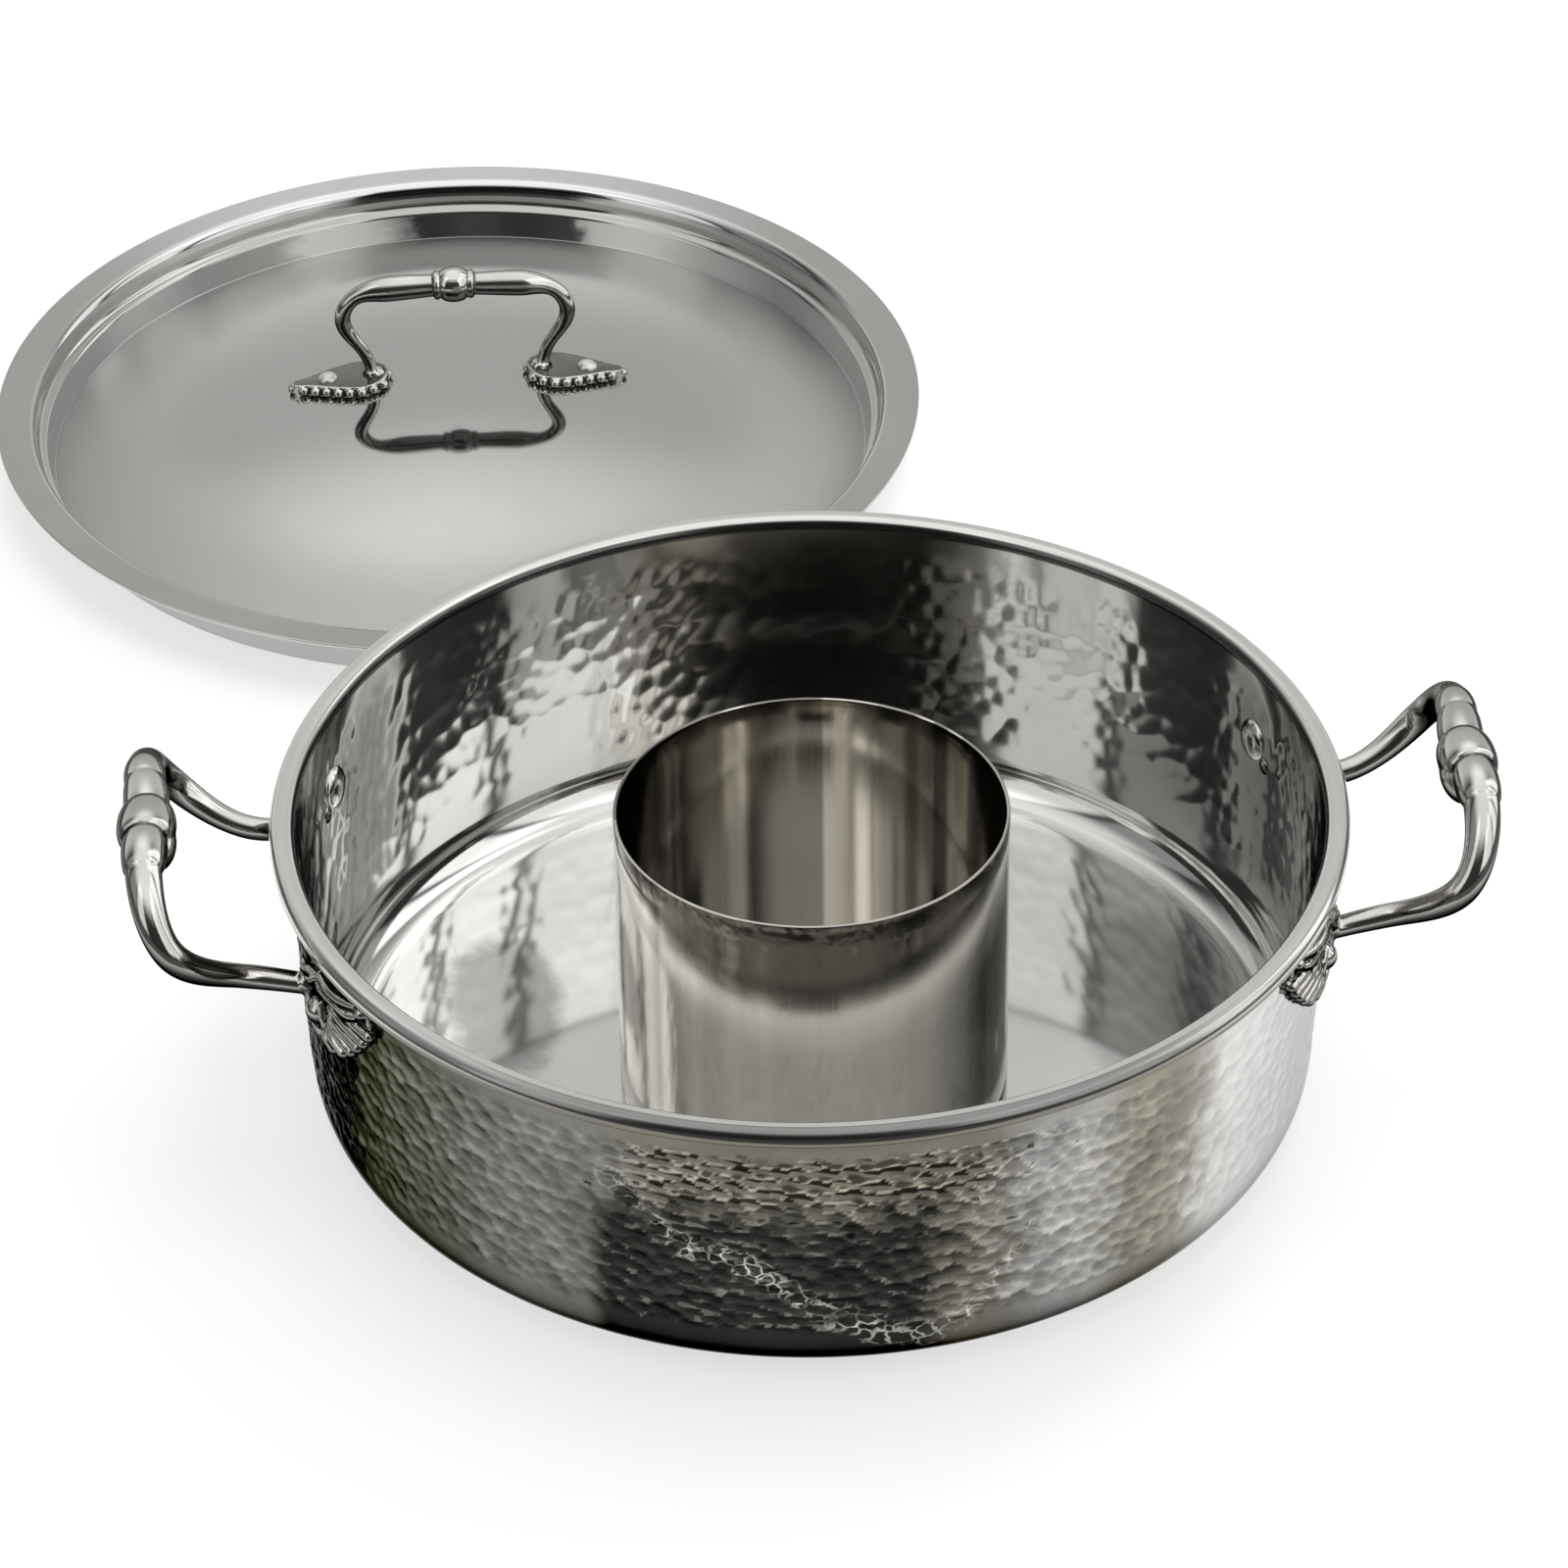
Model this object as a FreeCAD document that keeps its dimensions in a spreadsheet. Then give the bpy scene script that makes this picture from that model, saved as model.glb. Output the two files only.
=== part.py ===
import FreeCAD, Part
import math
import os
import Sketcher
from FreeCAD import Placement, Rotation, Vector

# Chimney hot pot: a wide riveted pan of clad sheet with a rolled rim and two cast loop handles,
# a loose ring that stands on the pan's floor as the chimney, and a lid that lies beside the pan.
# Millimetres and degrees. +Z is up, X runs through both side handles, and the origin is the middle
# of the pan's base on the table.

os.makedirs("parts", exist_ok=True)
doc = FreeCAD.newDocument("chimney_hot_pot")
sheet = doc.addObject("Spreadsheet::Sheet", "sizes")

dimensions = {
    # Pan
    "base_radius": 141.2,         # the wall's outside, carried down to the table
    "mouth_radius": 145.5,        # the wall's outside, just under the rim
    "pot_height": 90.3,
    "corner_radius": 15.3,        # outside, between base and wall
    "skin_thick": 0.5,            # hammered steel outside
    "core_thick": 1.8,            # aluminium
    "lining_thick": 0.5,          # steel inside
    "rim_radius": 150.0,
    "rim_depth": 5.6,
    "rim_round": 2.2,
    # Chimney ring
    "ring_radius": 55.0,
    "ring_wall": 1.0,
    "ring_proud": 1.5,            # its top above the rim's
    "ring_offset": 7.3,           # it stands this far in front of the pan's middle
    # Side handles: the middle line of the bar. Out is beyond the mouth's outside, rise and drop
    # are above and below the rim's top, and spread is sideways from the handle's middle.
    "grip_out": 37.5,
    "grip_rise": 7.7,
    "grip_half": 24.0,            # half of the straight grip
    "bend_out": 31.5,
    "bend_spread": 41.0,
    "bend_drop": 8.8,
    "arm_out": 12.5,
    "arm_spread": 35.5,
    "arm_drop": 21.7,
    "root_spread": 38.9,          # along the wall
    "root_drop": 24.5,
    "bulb_radius": 8.2,
    "bulb_half": 4.2,
    "collar_radius": 6.9,
    "collar_end_radius": 5.8,
    "collar_length": 8.4,
    "grip_radius": 5.1,
    "bend_radius": 4.2,
    "arm_radius": 3.3,
    "root_radius": 2.9,
    # Leaf-shaped feet of the side handles
    "foot_thick": 2.4,
    "rib_count": 5,
    "rib_radius": 2.3,
    "rivet_along": 15.7,          # from the arm's root, along the wall
    "rivet_up": 0.2,
    "rivet_radius": 2.5,
    "rivet_bite": 1.8,            # how far the shank goes into the foot
    "rivet_head": 6.2,
    "rivet_dome": 2.2,
    "rivet_play": 0.05,
    # Lid
    "lid_overhang": 1.1,          # beyond the pan's rim
    "lid_play": 2.8,              # between the lid's recess and the pan's mouth
    "lid_thick": 1.2,
    "flange_height": 19.2,        # top of the flange above the table
    "upper_slope": 1.0,           # how far each slanted side leans in
    "ledge_step": 1.3,
    "lower_slope": 2.6,
    "ledge_height": 10.2,
    "crown_height": 24.5,         # top of the domed panel above the table
    "lid_gap": 50.4,              # between the lid and the pan's rim, side by side
    "lid_bearing": 14.7,          # which way the lid lies, from +Y towards -X
    # Lid handle: the middle line of its bar, above the top of the dome
    "bar_height": 36.2,
    "bar_half": 21.0,
    "bar_droop": 0.6,
    "shoulder_spread": 33.4,
    "shoulder_height": 32.0,
    "side_spread": 36.6,
    "side_height": 24.8,
    "knee_spread": 30.2,
    "knee_height": 12.2,
    "leg_spread": 27.2,
    "bead_radius": 5.9,
    "bead_half": 6.6,
    "bar_radius": 4.2,
    "bar_middle_radius": 3.4,
    "side_radius": 2.5,
    "leg_radius": 1.9,
    # Leaf pads of the lid handle
    "pad_thick": 3.4,
    "pad_heel": 4.6,              # from the leg's middle to the pad's inner end
    "pad_length": 32.4,
    "pad_half_width": 9.0,
    "lobe_count": 5,
    "lobe_radius": 2.1,
    "lid_rivet_out": 15.3,        # from the leg's middle
    "lid_rivet_radius": 1.8,
    "lid_rivet_head": 3.3,
    "lid_rivet_dome": 1.5,
    "head_sunk": 0.2,             # how far a head's blank starts under the face it sits on
}
for row, (name, number) in enumerate(dimensions.items(), start=1):
    sheet.set(f"A{row}", name)
    sheet.set(f"B{row}", str(number))
    sheet.setAlias(f"B{row}", name)
doc.recompute()


def value(text):
    """The number that an expression on the sheet gives."""
    result = sheet.evalExpression(text)
    return float(getattr(result, "Value", result))


def size(name):
    return float(sheet.get(name))


# ---------------------------------------------------------------- profiles and turned bodies

def pin(sketch, kind, place, text):
    """Ties one coordinate of a sketch point to an expression."""
    axis = -2 if kind == "DistanceX" else -1
    if text == "0":
        sketch.addConstraint(Sketcher.Constraint("PointOnObject", *place, axis))
        return
    index = sketch.addConstraint(Sketcher.Constraint(kind, -1, 1, *place, value(text)))
    sketch.setExpression(f"Constraints[{index}]", text)


def turned_body(name, corners, domes=()):
    """A body turned about Z from a closed outline in the XZ plane.

    corners holds (radius, height) as expressions. Each index in domes makes the side that starts
    there an arc centred on the axis.
    """
    body = doc.addObject("PartDesign::Body", name)
    sketch = body.newObject("Sketcher::SketchObject", name + "_outline")
    plane = [item for item in body.Origin.OriginFeatures if item.Role == "XZ_Plane"][0]
    sketch.AttachmentSupport = [(plane, "")]
    sketch.MapMode = "FlatFace"
    points = [Vector(value(x), value(y), 0) for x, y in corners]
    count = len(points)
    starts = []
    ends = []
    for i, first in enumerate(points):
        last = points[(i + 1) % count]
        if i in domes:
            high, low = (first, last) if first.x < last.x else (last, first)
            drop = high.y - low.y
            radius = (low.x ** 2 + drop ** 2) / (2 * drop)
            middle = Vector(0, high.y - radius, 0)
            circle = Part.Circle(middle, Vector(0, 0, 1), radius)
            angle = math.atan2(low.y - middle.y, low.x)
            index = sketch.addGeometry(Part.ArcOfCircle(circle, angle, math.pi / 2))
            sketch.addConstraint(Sketcher.Constraint("PointOnObject", index, 3, -2))
            from_low = first is low
            starts.append((index, 1 if from_low else 2))
            ends.append((index, 2 if from_low else 1))
        else:
            index = sketch.addGeometry(Part.LineSegment(first, last))
            starts.append((index, 1))
            ends.append((index, 2))
    for i in range(count):
        sketch.addConstraint(Sketcher.Constraint("Coincident", *ends[i - 1], *starts[i]))
    for place, (x, y) in zip(starts, corners):
        pin(sketch, "DistanceX", place, x)
        pin(sketch, "DistanceY", place, y)
    turn = body.newObject("PartDesign::Revolution", name + "_turned")
    turn.Profile = sketch
    turn.ReferenceAxis = (sketch, ["V_Axis"])
    turn.Angle = 360
    sketch.Visibility = False
    doc.recompute()
    return body


def round_rings(body, name, places, radius):
    """Rounds the circular edges of a turned body at the given (radius, height) places."""
    near = 0.01
    edges = []
    base = body.Tip
    for number, edge in enumerate(base.Shape.Edges, start=1):
        if not isinstance(edge.Curve, Part.Circle):
            continue
        for x, y in places:
            same_height = abs(edge.Curve.Center.z - value(y)) < near
            if same_height and abs(edge.Curve.Radius - value(x)) < near:
                edges.append(f"Edge{number}")
    fillet = body.newObject("PartDesign::Fillet", name)
    fillet.Base = (base, sorted(set(edges)))
    fillet.setExpression("Radius", radius)
    doc.recompute()


def cut_out(name, base, tool):
    """The base with the tool's volume taken out, as a node of its own."""
    cut = doc.addObject("Part::Cut", name)
    cut.Base = base
    cut.Tool = tool
    doc.recompute()
    return cut


def feature(name, shape, placement=None):
    item = doc.addObject("Part::Feature", name)
    item.Shape = shape
    if placement is not None:
        item.Placement = placement
    return item


# ---------------------------------------------------------------- pan: three bonded layers

RISE = "(sizes.mouth_radius - sizes.base_radius) / (sizes.pot_height - sizes.rim_depth)"
RIM_FOOT = "sizes.pot_height - sizes.rim_depth"
HEM = "sizes.lining_thick"
TO_CORE = "sizes.skin_thick"
TO_LINING = "(sizes.skin_thick + sizes.core_thick)"
TO_INSIDE = "(sizes.skin_thick + sizes.core_thick + sizes.lining_thick)"


def wall(depth, height):
    """Radius of the wall's surface that lies depth inside the outer one, at a height."""
    return f"sizes.base_radius + ({height}) * {RISE} - {depth} * sqrt(1 + ({RISE})^2)"


def corner(depth):
    """Where the surface that lies depth inside the outer one turns from floor to wall."""
    return (wall(depth, depth), depth)


SKIN_TOP = f"{RIM_FOOT} + {HEM}"
CORE_TOP = f"sizes.pot_height - {HEM}"
CORE_EDGE = f"sizes.rim_radius - {HEM}"

skin_body = turned_body("skin_blank", [
    ("0", "0"),
    ("sizes.base_radius", "0"),
    (wall("0", SKIN_TOP), SKIN_TOP),
    (wall(TO_CORE, SKIN_TOP), SKIN_TOP),
    corner(TO_CORE),
    ("0", TO_CORE),
])
round_rings(skin_body, "skin_outer_corner", [("sizes.base_radius", "0")], "sizes.corner_radius")
round_rings(skin_body, "skin_inner_corner", [corner(TO_CORE)], f"sizes.corner_radius - {TO_CORE}")

core_body = turned_body("core_blank", [
    ("0", TO_CORE),
    corner(TO_CORE),
    (wall(TO_CORE, SKIN_TOP), SKIN_TOP),
    (CORE_EDGE, SKIN_TOP),
    (CORE_EDGE, CORE_TOP),
    (wall(TO_LINING, CORE_TOP), CORE_TOP),
    corner(TO_LINING),
    ("0", TO_LINING),
])
round_rings(core_body, "core_outer_corner", [corner(TO_CORE)], f"sizes.corner_radius - {TO_CORE}")
round_rings(core_body, "core_inner_corner", [corner(TO_LINING)], f"sizes.corner_radius - {TO_LINING}")
round_rings(core_body, "core_rim", [
    (CORE_EDGE, SKIN_TOP),
    (CORE_EDGE, CORE_TOP),
    (wall(TO_LINING, CORE_TOP), CORE_TOP),
], f"sizes.rim_round - {HEM}")

lining_body = turned_body("lining_blank", [
    ("0", TO_LINING),
    corner(TO_LINING),
    (wall(TO_LINING, CORE_TOP), CORE_TOP),
    (CORE_EDGE, CORE_TOP),
    (CORE_EDGE, SKIN_TOP),
    (wall("0", SKIN_TOP), SKIN_TOP),
    (wall("0", RIM_FOOT), RIM_FOOT),
    ("sizes.rim_radius", RIM_FOOT),
    ("sizes.rim_radius", "sizes.pot_height"),
    (wall(TO_INSIDE, "sizes.pot_height"), "sizes.pot_height"),
    corner(TO_INSIDE),
    ("0", TO_INSIDE),
])
round_rings(lining_body, "lining_back_corner", [corner(TO_LINING)], f"sizes.corner_radius - {TO_LINING}")
round_rings(lining_body, "lining_cove", [corner(TO_INSIDE)], f"sizes.corner_radius - {TO_INSIDE}")
round_rings(lining_body, "lining_hem", [
    (CORE_EDGE, SKIN_TOP),
    (CORE_EDGE, CORE_TOP),
    (wall(TO_LINING, CORE_TOP), CORE_TOP),
], f"sizes.rim_round - {HEM}")
round_rings(lining_body, "lining_rim", [
    ("sizes.rim_radius", RIM_FOOT),
    ("sizes.rim_radius", "sizes.pot_height"),
    (wall(TO_INSIDE, "sizes.pot_height"), "sizes.pot_height"),
], "sizes.rim_round")

# ---------------------------------------------------------------- chimney ring

RING_TOP = "sizes.pot_height + sizes.ring_proud"
ring = turned_body("chimney_ring", [
    ("sizes.ring_radius - sizes.ring_wall", TO_INSIDE),
    ("sizes.ring_radius", TO_INSIDE),
    ("sizes.ring_radius", RING_TOP),
    ("sizes.ring_radius - sizes.ring_wall", RING_TOP),
])
ring.setExpression("Placement.Base.y", "-sizes.ring_offset")

# ---------------------------------------------------------------- lid pan

LID_RADIUS = "sizes.rim_radius + sizes.lid_overhang"
LID_AWAY = f"({LID_RADIUS} + sizes.rim_radius + sizes.lid_gap)"
LID_X = f"-{LID_AWAY} * sin(sizes.lid_bearing)"
LID_Y = f"{LID_AWAY} * cos(sizes.lid_bearing)"
LID_UNDER = "sizes.flange_height - sizes.lid_thick"
FLANGE_INNER = wall(TO_INSIDE, "sizes.pot_height") + " - sizes.lid_play - sizes.lid_thick"
LEDGE_OUTER = FLANGE_INNER + " - sizes.upper_slope"
LEDGE_INNER = LEDGE_OUTER + " - sizes.ledge_step"
PANEL_RADIUS = LEDGE_INNER + " - sizes.lower_slope"

lid_body = turned_body("lid_blank", [
    ("0", "sizes.crown_height - sizes.lid_thick"),
    (PANEL_RADIUS, "0"),
    (PANEL_RADIUS + " + sizes.lid_thick", "0"),
    (LEDGE_INNER + " + sizes.lid_thick", "sizes.ledge_height - sizes.lid_thick"),
    (LEDGE_OUTER + " + sizes.lid_thick", "sizes.ledge_height"),
    (FLANGE_INNER + " + sizes.lid_thick", LID_UNDER),
    (LID_RADIUS, LID_UNDER),
    (LID_RADIUS, "sizes.flange_height"),
    (FLANGE_INNER, "sizes.flange_height"),
    (LEDGE_OUTER, "sizes.ledge_height + sizes.lid_thick"),
    (LEDGE_INNER, "sizes.ledge_height"),
    (PANEL_RADIUS, "sizes.lid_thick"),
    ("0", "sizes.crown_height"),
], domes=(0, 11))
lid_body.setExpression("Placement.Base.x", LID_X)
lid_body.setExpression("Placement.Base.y", LID_Y)
lid_place = Placement(Vector(value(LID_X), value(LID_Y), 0), Rotation())


# ---------------------------------------------------------------- bars, domes and rivets

def blend(low, high, share):
    return low + (high - low) * share


def bar_along(points, radii, count=28):
    """A round bar whose middle line runs smoothly through the points, with a radius at each."""
    curve = Part.BSplineCurve()
    curve.interpolate(Points=points)
    stations = [curve.parameter(point) for point in points]
    side = Vector(0, 0, 1)
    rings = []
    for step in range(count + 1):
        at = blend(stations[0], stations[-1], step / count)
        leg = max(i for i in range(len(stations) - 1) if stations[i] <= at + 1e-9)
        share = (at - stations[leg]) / (stations[leg + 1] - stations[leg])
        eased = share * share * (3 - 2 * share)
        radius = blend(radii[leg], radii[leg + 1], eased)
        along = curve.tangent(at)[0]
        side = (side - along * side.dot(along)).normalize()
        ring_wire = Part.Wire(Part.Circle(Vector(0, 0, 0), Vector(0, 0, 1), radius).toShape())
        turn = Rotation(side, along.cross(side), along, "ZXY")
        ring_wire.Placement = Placement(curve.value(at), turn)
        rings.append(ring_wire)
    return Part.makeLoft(rings, True, False)


def turned(wire, base, along):
    """A solid turned from an outline in the XZ plane, then set along an axis at base."""
    solid = Part.Face(wire).revolve(Vector(0, 0, 0), Vector(0, 0, 1), 360)
    if solid.Volume < 0:
        solid.reverse()
    solid.Placement = Placement(base, Rotation(Vector(0, 0, 1), along))
    return solid


def barrel(base, along, radius, half, end_radius):
    """A round bead: an arc from end_radius over radius and back, turned about its own axis."""
    arc = Part.Arc(Vector(end_radius, 0, -half), Vector(radius, 0, 0), Vector(end_radius, 0, half))
    sides = [
        arc.toShape(),
        Part.makeLine(Vector(end_radius, 0, half), Vector(0, 0, half)),
        Part.makeLine(Vector(0, 0, half), Vector(0, 0, -half)),
        Part.makeLine(Vector(0, 0, -half), Vector(end_radius, 0, -half)),
    ]
    return turned(Part.Wire(sides), base, along)


def dome(base, along, radius, height):
    """A low round cap of a ball, flat side at base."""
    ball_radius = (radius ** 2 + height ** 2) / (2 * height)
    middle = height - ball_radius
    half_turn = math.atan2(-middle, radius) / 2 + math.pi / 4
    between = Vector(ball_radius * math.cos(half_turn), 0, middle + ball_radius * math.sin(half_turn))
    sides = [
        Part.makeLine(Vector(0, 0, 0), Vector(radius, 0, 0)),
        Part.Arc(Vector(radius, 0, 0), between, Vector(0, 0, height)).toShape(),
        Part.makeLine(Vector(0, 0, height), Vector(0, 0, 0)),
    ]
    return turned(Part.Wire(sides), base, along)


def rounded_rod(first, last, radius):
    """A rod with ball ends."""
    length = (last - first).Length
    slant = radius * math.sqrt(0.5)
    sides = [
        Part.Arc(Vector(0, 0, -radius), Vector(slant, 0, -slant), Vector(radius, 0, 0)).toShape(),
        Part.makeLine(Vector(radius, 0, 0), Vector(radius, 0, length)),
        Part.Arc(Vector(radius, 0, length), Vector(slant, 0, length + slant),
                 Vector(0, 0, length + radius)).toShape(),
        Part.makeLine(Vector(0, 0, length + radius), Vector(0, 0, -radius)),
    ]
    return turned(Part.Wire(sides), first, last - first)


def both_sides(shape, normal):
    """The shape fused with its mirror image in a plane through the origin."""
    return shape.fuse(shape.mirror(Vector(0, 0, 0), normal))


# ---------------------------------------------------------------- side handles

taper = math.atan(value(RISE))
inside_depth = value(TO_INSIDE)


def wall_frame(angle, height):
    """A place on the wall's outside and the direction straight out of the wall there."""
    radius = value(wall("0", str(height)))
    spot = Vector(radius * math.cos(angle), radius * math.sin(angle), height)
    out = Vector(math.cos(taper) * math.cos(angle), math.cos(taper) * math.sin(angle), -math.sin(taper))
    return spot, out


def wall_layer(depth, height_low, height_high):
    """A ring of metal that lies on the wall's outside, depth thick."""
    out = depth / math.cos(taper)
    low = value(wall("0", str(height_low)))
    high = value(wall("0", str(height_high)))
    outline = [(low, height_low), (low + out, height_low), (high + out, height_high), (high, height_high)]
    wire = Part.makePolygon([Vector(x, 0, z) for x, z in outline + outline[:1]])
    return turned(wire, Vector(0, 0, 0), Vector(0, 0, 1))


ROOT_HEIGHT = "sizes.pot_height - sizes.root_drop"


def along_wall(along):
    """The angle round the pan of a place that lies along mm sideways from the arm's root."""
    return (size("root_spread") + along) / size("mouth_radius")


def on_wall(along, rise):
    """Place and outward direction on the wall: mm sideways from the arm's root, mm above it."""
    return wall_frame(along_wall(along), value(ROOT_HEIGHT) + rise)


# The leaf's edge, its ribs' first and last ends and its knots: mm sideways and up from the root.
leaf_edge = [(-4.5, -1), (-2, 5), (9, 8.5), (22, 12.5), (35, 15), (43, 13), (43.5, 6), (36.5, -2),
             (28, -9), (19, -14.5), (10.5, -16), (4, -11), (-1, -6)]
leaf_middle = 19
first_rib = ((11, -2), (14.5, -12.5))
last_rib = ((34, 10), (40.5, 8))
leaf_knots = [(7.2, -5.5, 4.2), (24.5, 7.5, 3.6), (34.5, 12, 2.6)]


def leaf_foot():
    """One leaf-shaped foot, on the wall beside the arm's root."""
    thick = size("foot_thick")
    prism_start = thick * 3       # the blank starts well inside the wall, and ends well outside
    prism_length = thick * 8
    middle, out = on_wall(leaf_middle, 0)
    edge = []
    for along, rise in leaf_edge:
        spot = on_wall(along, rise)[0]
        edge.append(spot - out * ((spot - middle).dot(out) + prism_start))
    curve = Part.BSplineCurve()
    curve.interpolate(Points=edge, PeriodicFlag=True)
    prism = Part.Face(Part.Wire(curve.toShape())).extrude(out * prism_length)
    rises = [rise for along, rise in leaf_edge]
    low = value(ROOT_HEIGHT) + min(rises) - thick
    high = value(ROOT_HEIGHT) + max(rises) + thick
    foot = prism.common(wall_layer(thick, low, high))
    extras = []
    rib_sunk = thick * 0.8        # the ribs' and knots' middles lie just under the foot's face
    knot_sunk = thick * 0.6
    ribs = int(size("rib_count"))
    for i in range(ribs):
        share = i / (ribs - 1)
        ends = []
        for near, far in zip(first_rib, last_rib):
            spot, normal = on_wall(blend(near[0], far[0], share), blend(near[1], far[1], share))
            ends.append(spot + normal * rib_sunk)
        extras.append(rounded_rod(ends[0], ends[1], size("rib_radius")))
    for along, rise, radius in leaf_knots:
        spot, normal = on_wall(along, rise)
        extras.append(Part.makeSphere(radius, spot + normal * knot_sunk))
    return foot.fuse(extras)


def side_handle():
    """The cast handle on the +X side: grip with a bulb and collars, two arms and two feet."""
    mouth = size("mouth_radius")
    rim = size("pot_height")
    reach = mouth + size("grip_out")
    high = rim + size("grip_rise")
    root = on_wall(0, 0)[0]
    half_bar = bar_along(
        [
            Vector(reach, 0, high),
            Vector(reach, size("grip_half"), high),
            Vector(mouth + size("bend_out"), size("bend_spread"), rim - size("bend_drop")),
            Vector(mouth + size("arm_out"), size("arm_spread"), rim - size("arm_drop")),
            root,
        ],
        [size("grip_radius"), size("grip_radius"), size("bend_radius"), size("arm_radius"),
         size("root_radius")],
    )
    across = Vector(0, 1, 0)
    bulb_half = size("bulb_half")
    collar_half = size("collar_length") / 2
    collar = barrel(Vector(reach, bulb_half + collar_half, high), across,
                    size("collar_radius"), collar_half, size("collar_end_radius"))
    bulb = barrel(Vector(reach, 0, high), across, size("bulb_radius"), bulb_half, size("collar_radius"))
    half = half_bar.fuse([leaf_foot(), collar])
    whole = both_sides(half, across).fuse(bulb)
    inside = Part.makeCone(size("base_radius"), value(wall("0", "sizes.pot_height")), size("pot_height"))
    return whole.cut(inside).removeSplitter()


def wall_rivet(angle):
    """A rivet through the wall: domed head inside the pan, shank ending inside the foot."""
    spot, out = wall_frame(angle, value(ROOT_HEIGHT) + size("rivet_up"))
    sunk = size("head_sunk")
    length = inside_depth + size("rivet_bite")
    shank = Part.makeCylinder(size("rivet_radius"), length, spot - out * inside_depth, out)
    head = dome(spot - out * (inside_depth - sunk), out * -1, size("rivet_head"), size("rivet_dome") + sunk)
    return shank.fuse(head)


def wall_rivet_hole(angle):
    """The hole for that rivet, from inside the pan to its blind end in the foot."""
    spot, out = wall_frame(angle, value(ROOT_HEIGHT) + size("rivet_up"))
    play = size("rivet_play")
    start = inside_depth * 2
    length = start + size("rivet_bite") + play
    return Part.makeCylinder(size("rivet_radius") + play, length, spot - out * start, out)


def turned_half(shape):
    """The same shape on the other side of the pan."""
    other = shape.copy()
    other.rotate(Vector(0, 0, 0), Vector(0, 0, 1), 180)
    return other


def one_solid(shape, name):
    """The single solid of a cut or fused shape."""
    if len(shape.Solids) != 1:
        raise RuntimeError(f"{name} came out as {len(shape.Solids)} solids")
    return shape.Solids[0]


rivet_turns = [side * along_wall(size("rivet_along")) for side in (1, -1)]
right_holes = [wall_rivet_hole(turn) for turn in rivet_turns]
left_holes = [turned_half(item) for item in right_holes]
wall_holes = feature("wall_holes", Part.makeCompound(right_holes + left_holes))
skin = cut_out("outer_skin", skin_body, wall_holes)
core = cut_out("aluminium_core", core_body, wall_holes)
lining = cut_out("inner_lining", lining_body, wall_holes)

right_shape = one_solid(side_handle().cut(right_holes), "side handle")
right_handle = feature("right_side_handle", right_shape)
left_handle = feature("left_side_handle", turned_half(right_shape))
right_rivets = [one_solid(wall_rivet(turn).cut(lining.Shape), "wall rivet") for turn in rivet_turns]
right_rivet_group = feature("right_handle_rivets", Part.makeCompound(right_rivets))
left_rivets = [turned_half(item) for item in right_rivets]
left_rivet_group = feature("left_handle_rivets", Part.makeCompound(left_rivets))

# ---------------------------------------------------------------- lid handle and its rivets

crown = size("crown_height")
dome_drop = crown - size("lid_thick")
dome_radius = (value(PANEL_RADIUS) ** 2 + dome_drop ** 2) / (2 * dome_drop)
dome_middle = Vector(0, 0, crown - dome_radius)


def panel_height(radius):
    """Height of the domed panel's top at a distance from the lid's middle."""
    return crown - dome_radius + math.sqrt(dome_radius ** 2 - radius ** 2)


# The leaf pad's outline: shares of its length and of its half width.
pad_outline = [(0, 0), (0.12, 0.72), (0.3, 1), (0.62, 0.66), (1, 0)]
first_lobe = 0.18                 # share of the pad's length


def leaf_pad():
    """The pad on the +X side: a leaf that lies on the dome, with round lobes along its edge."""
    thick = size("pad_thick")
    inner = size("leg_spread") - size("pad_heel")
    long = size("pad_length")
    wide = size("pad_half_width")
    lobe = size("lobe_radius")
    half_edge = [Vector(inner + long * x, wide * y, 0) for x, y in pad_outline]
    other_edge = [Vector(point.x, -point.y, 0) for point in half_edge[-2:0:-1]]
    blank = Part.Face(Part.makePolygon(half_edge + other_edge + half_edge[:1]))
    solids = []
    count = int(size("lobe_count"))
    for i in range(count):
        share = i / (count - 1)
        x = blend(inner + long * first_lobe, inner + long - lobe, share)
        y = wide * (1 - share ** 1.6) - lobe * 0.3
        for side in ((y, -y) if y > lobe / 2 else (0,)):
            solids.append(Part.makeCylinder(lobe, crown * 2, Vector(x, side, 0)))
    prism = blank.extrude(Vector(0, 0, crown * 2)).fuse(solids)
    layer = Part.makeSphere(dome_radius + thick, dome_middle)
    return prism.common(layer)


def lid_handle_shape():
    """The cast lid handle in the lid's own place: bar with a bead, two bowed legs, two pads."""
    foot_top = panel_height(size("leg_spread")) + size("pad_thick") / 2
    bar = crown + size("bar_height")
    half_bar = bar_along(
        [
            Vector(0, 0, bar),
            Vector(size("bar_half"), 0, bar - size("bar_droop")),
            Vector(size("shoulder_spread"), 0, crown + size("shoulder_height")),
            Vector(size("side_spread"), 0, crown + size("side_height")),
            Vector(size("knee_spread"), 0, crown + size("knee_height")),
            Vector(size("leg_spread"), 0, foot_top),
        ],
        [size("bar_middle_radius"), size("bar_radius"), size("side_radius"), size("side_radius"),
         size("leg_radius"), size("leg_radius")],
        36,
    )
    across = Vector(1, 0, 0)
    bead = barrel(Vector(0, 0, bar), across, size("bead_radius"), size("bead_half"), size("bar_radius"))
    whole = both_sides(half_bar.fuse(leaf_pad()), across).fuse(bead)
    return whole.cut(Part.makeSphere(dome_radius, dome_middle)).removeSplitter()


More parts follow.
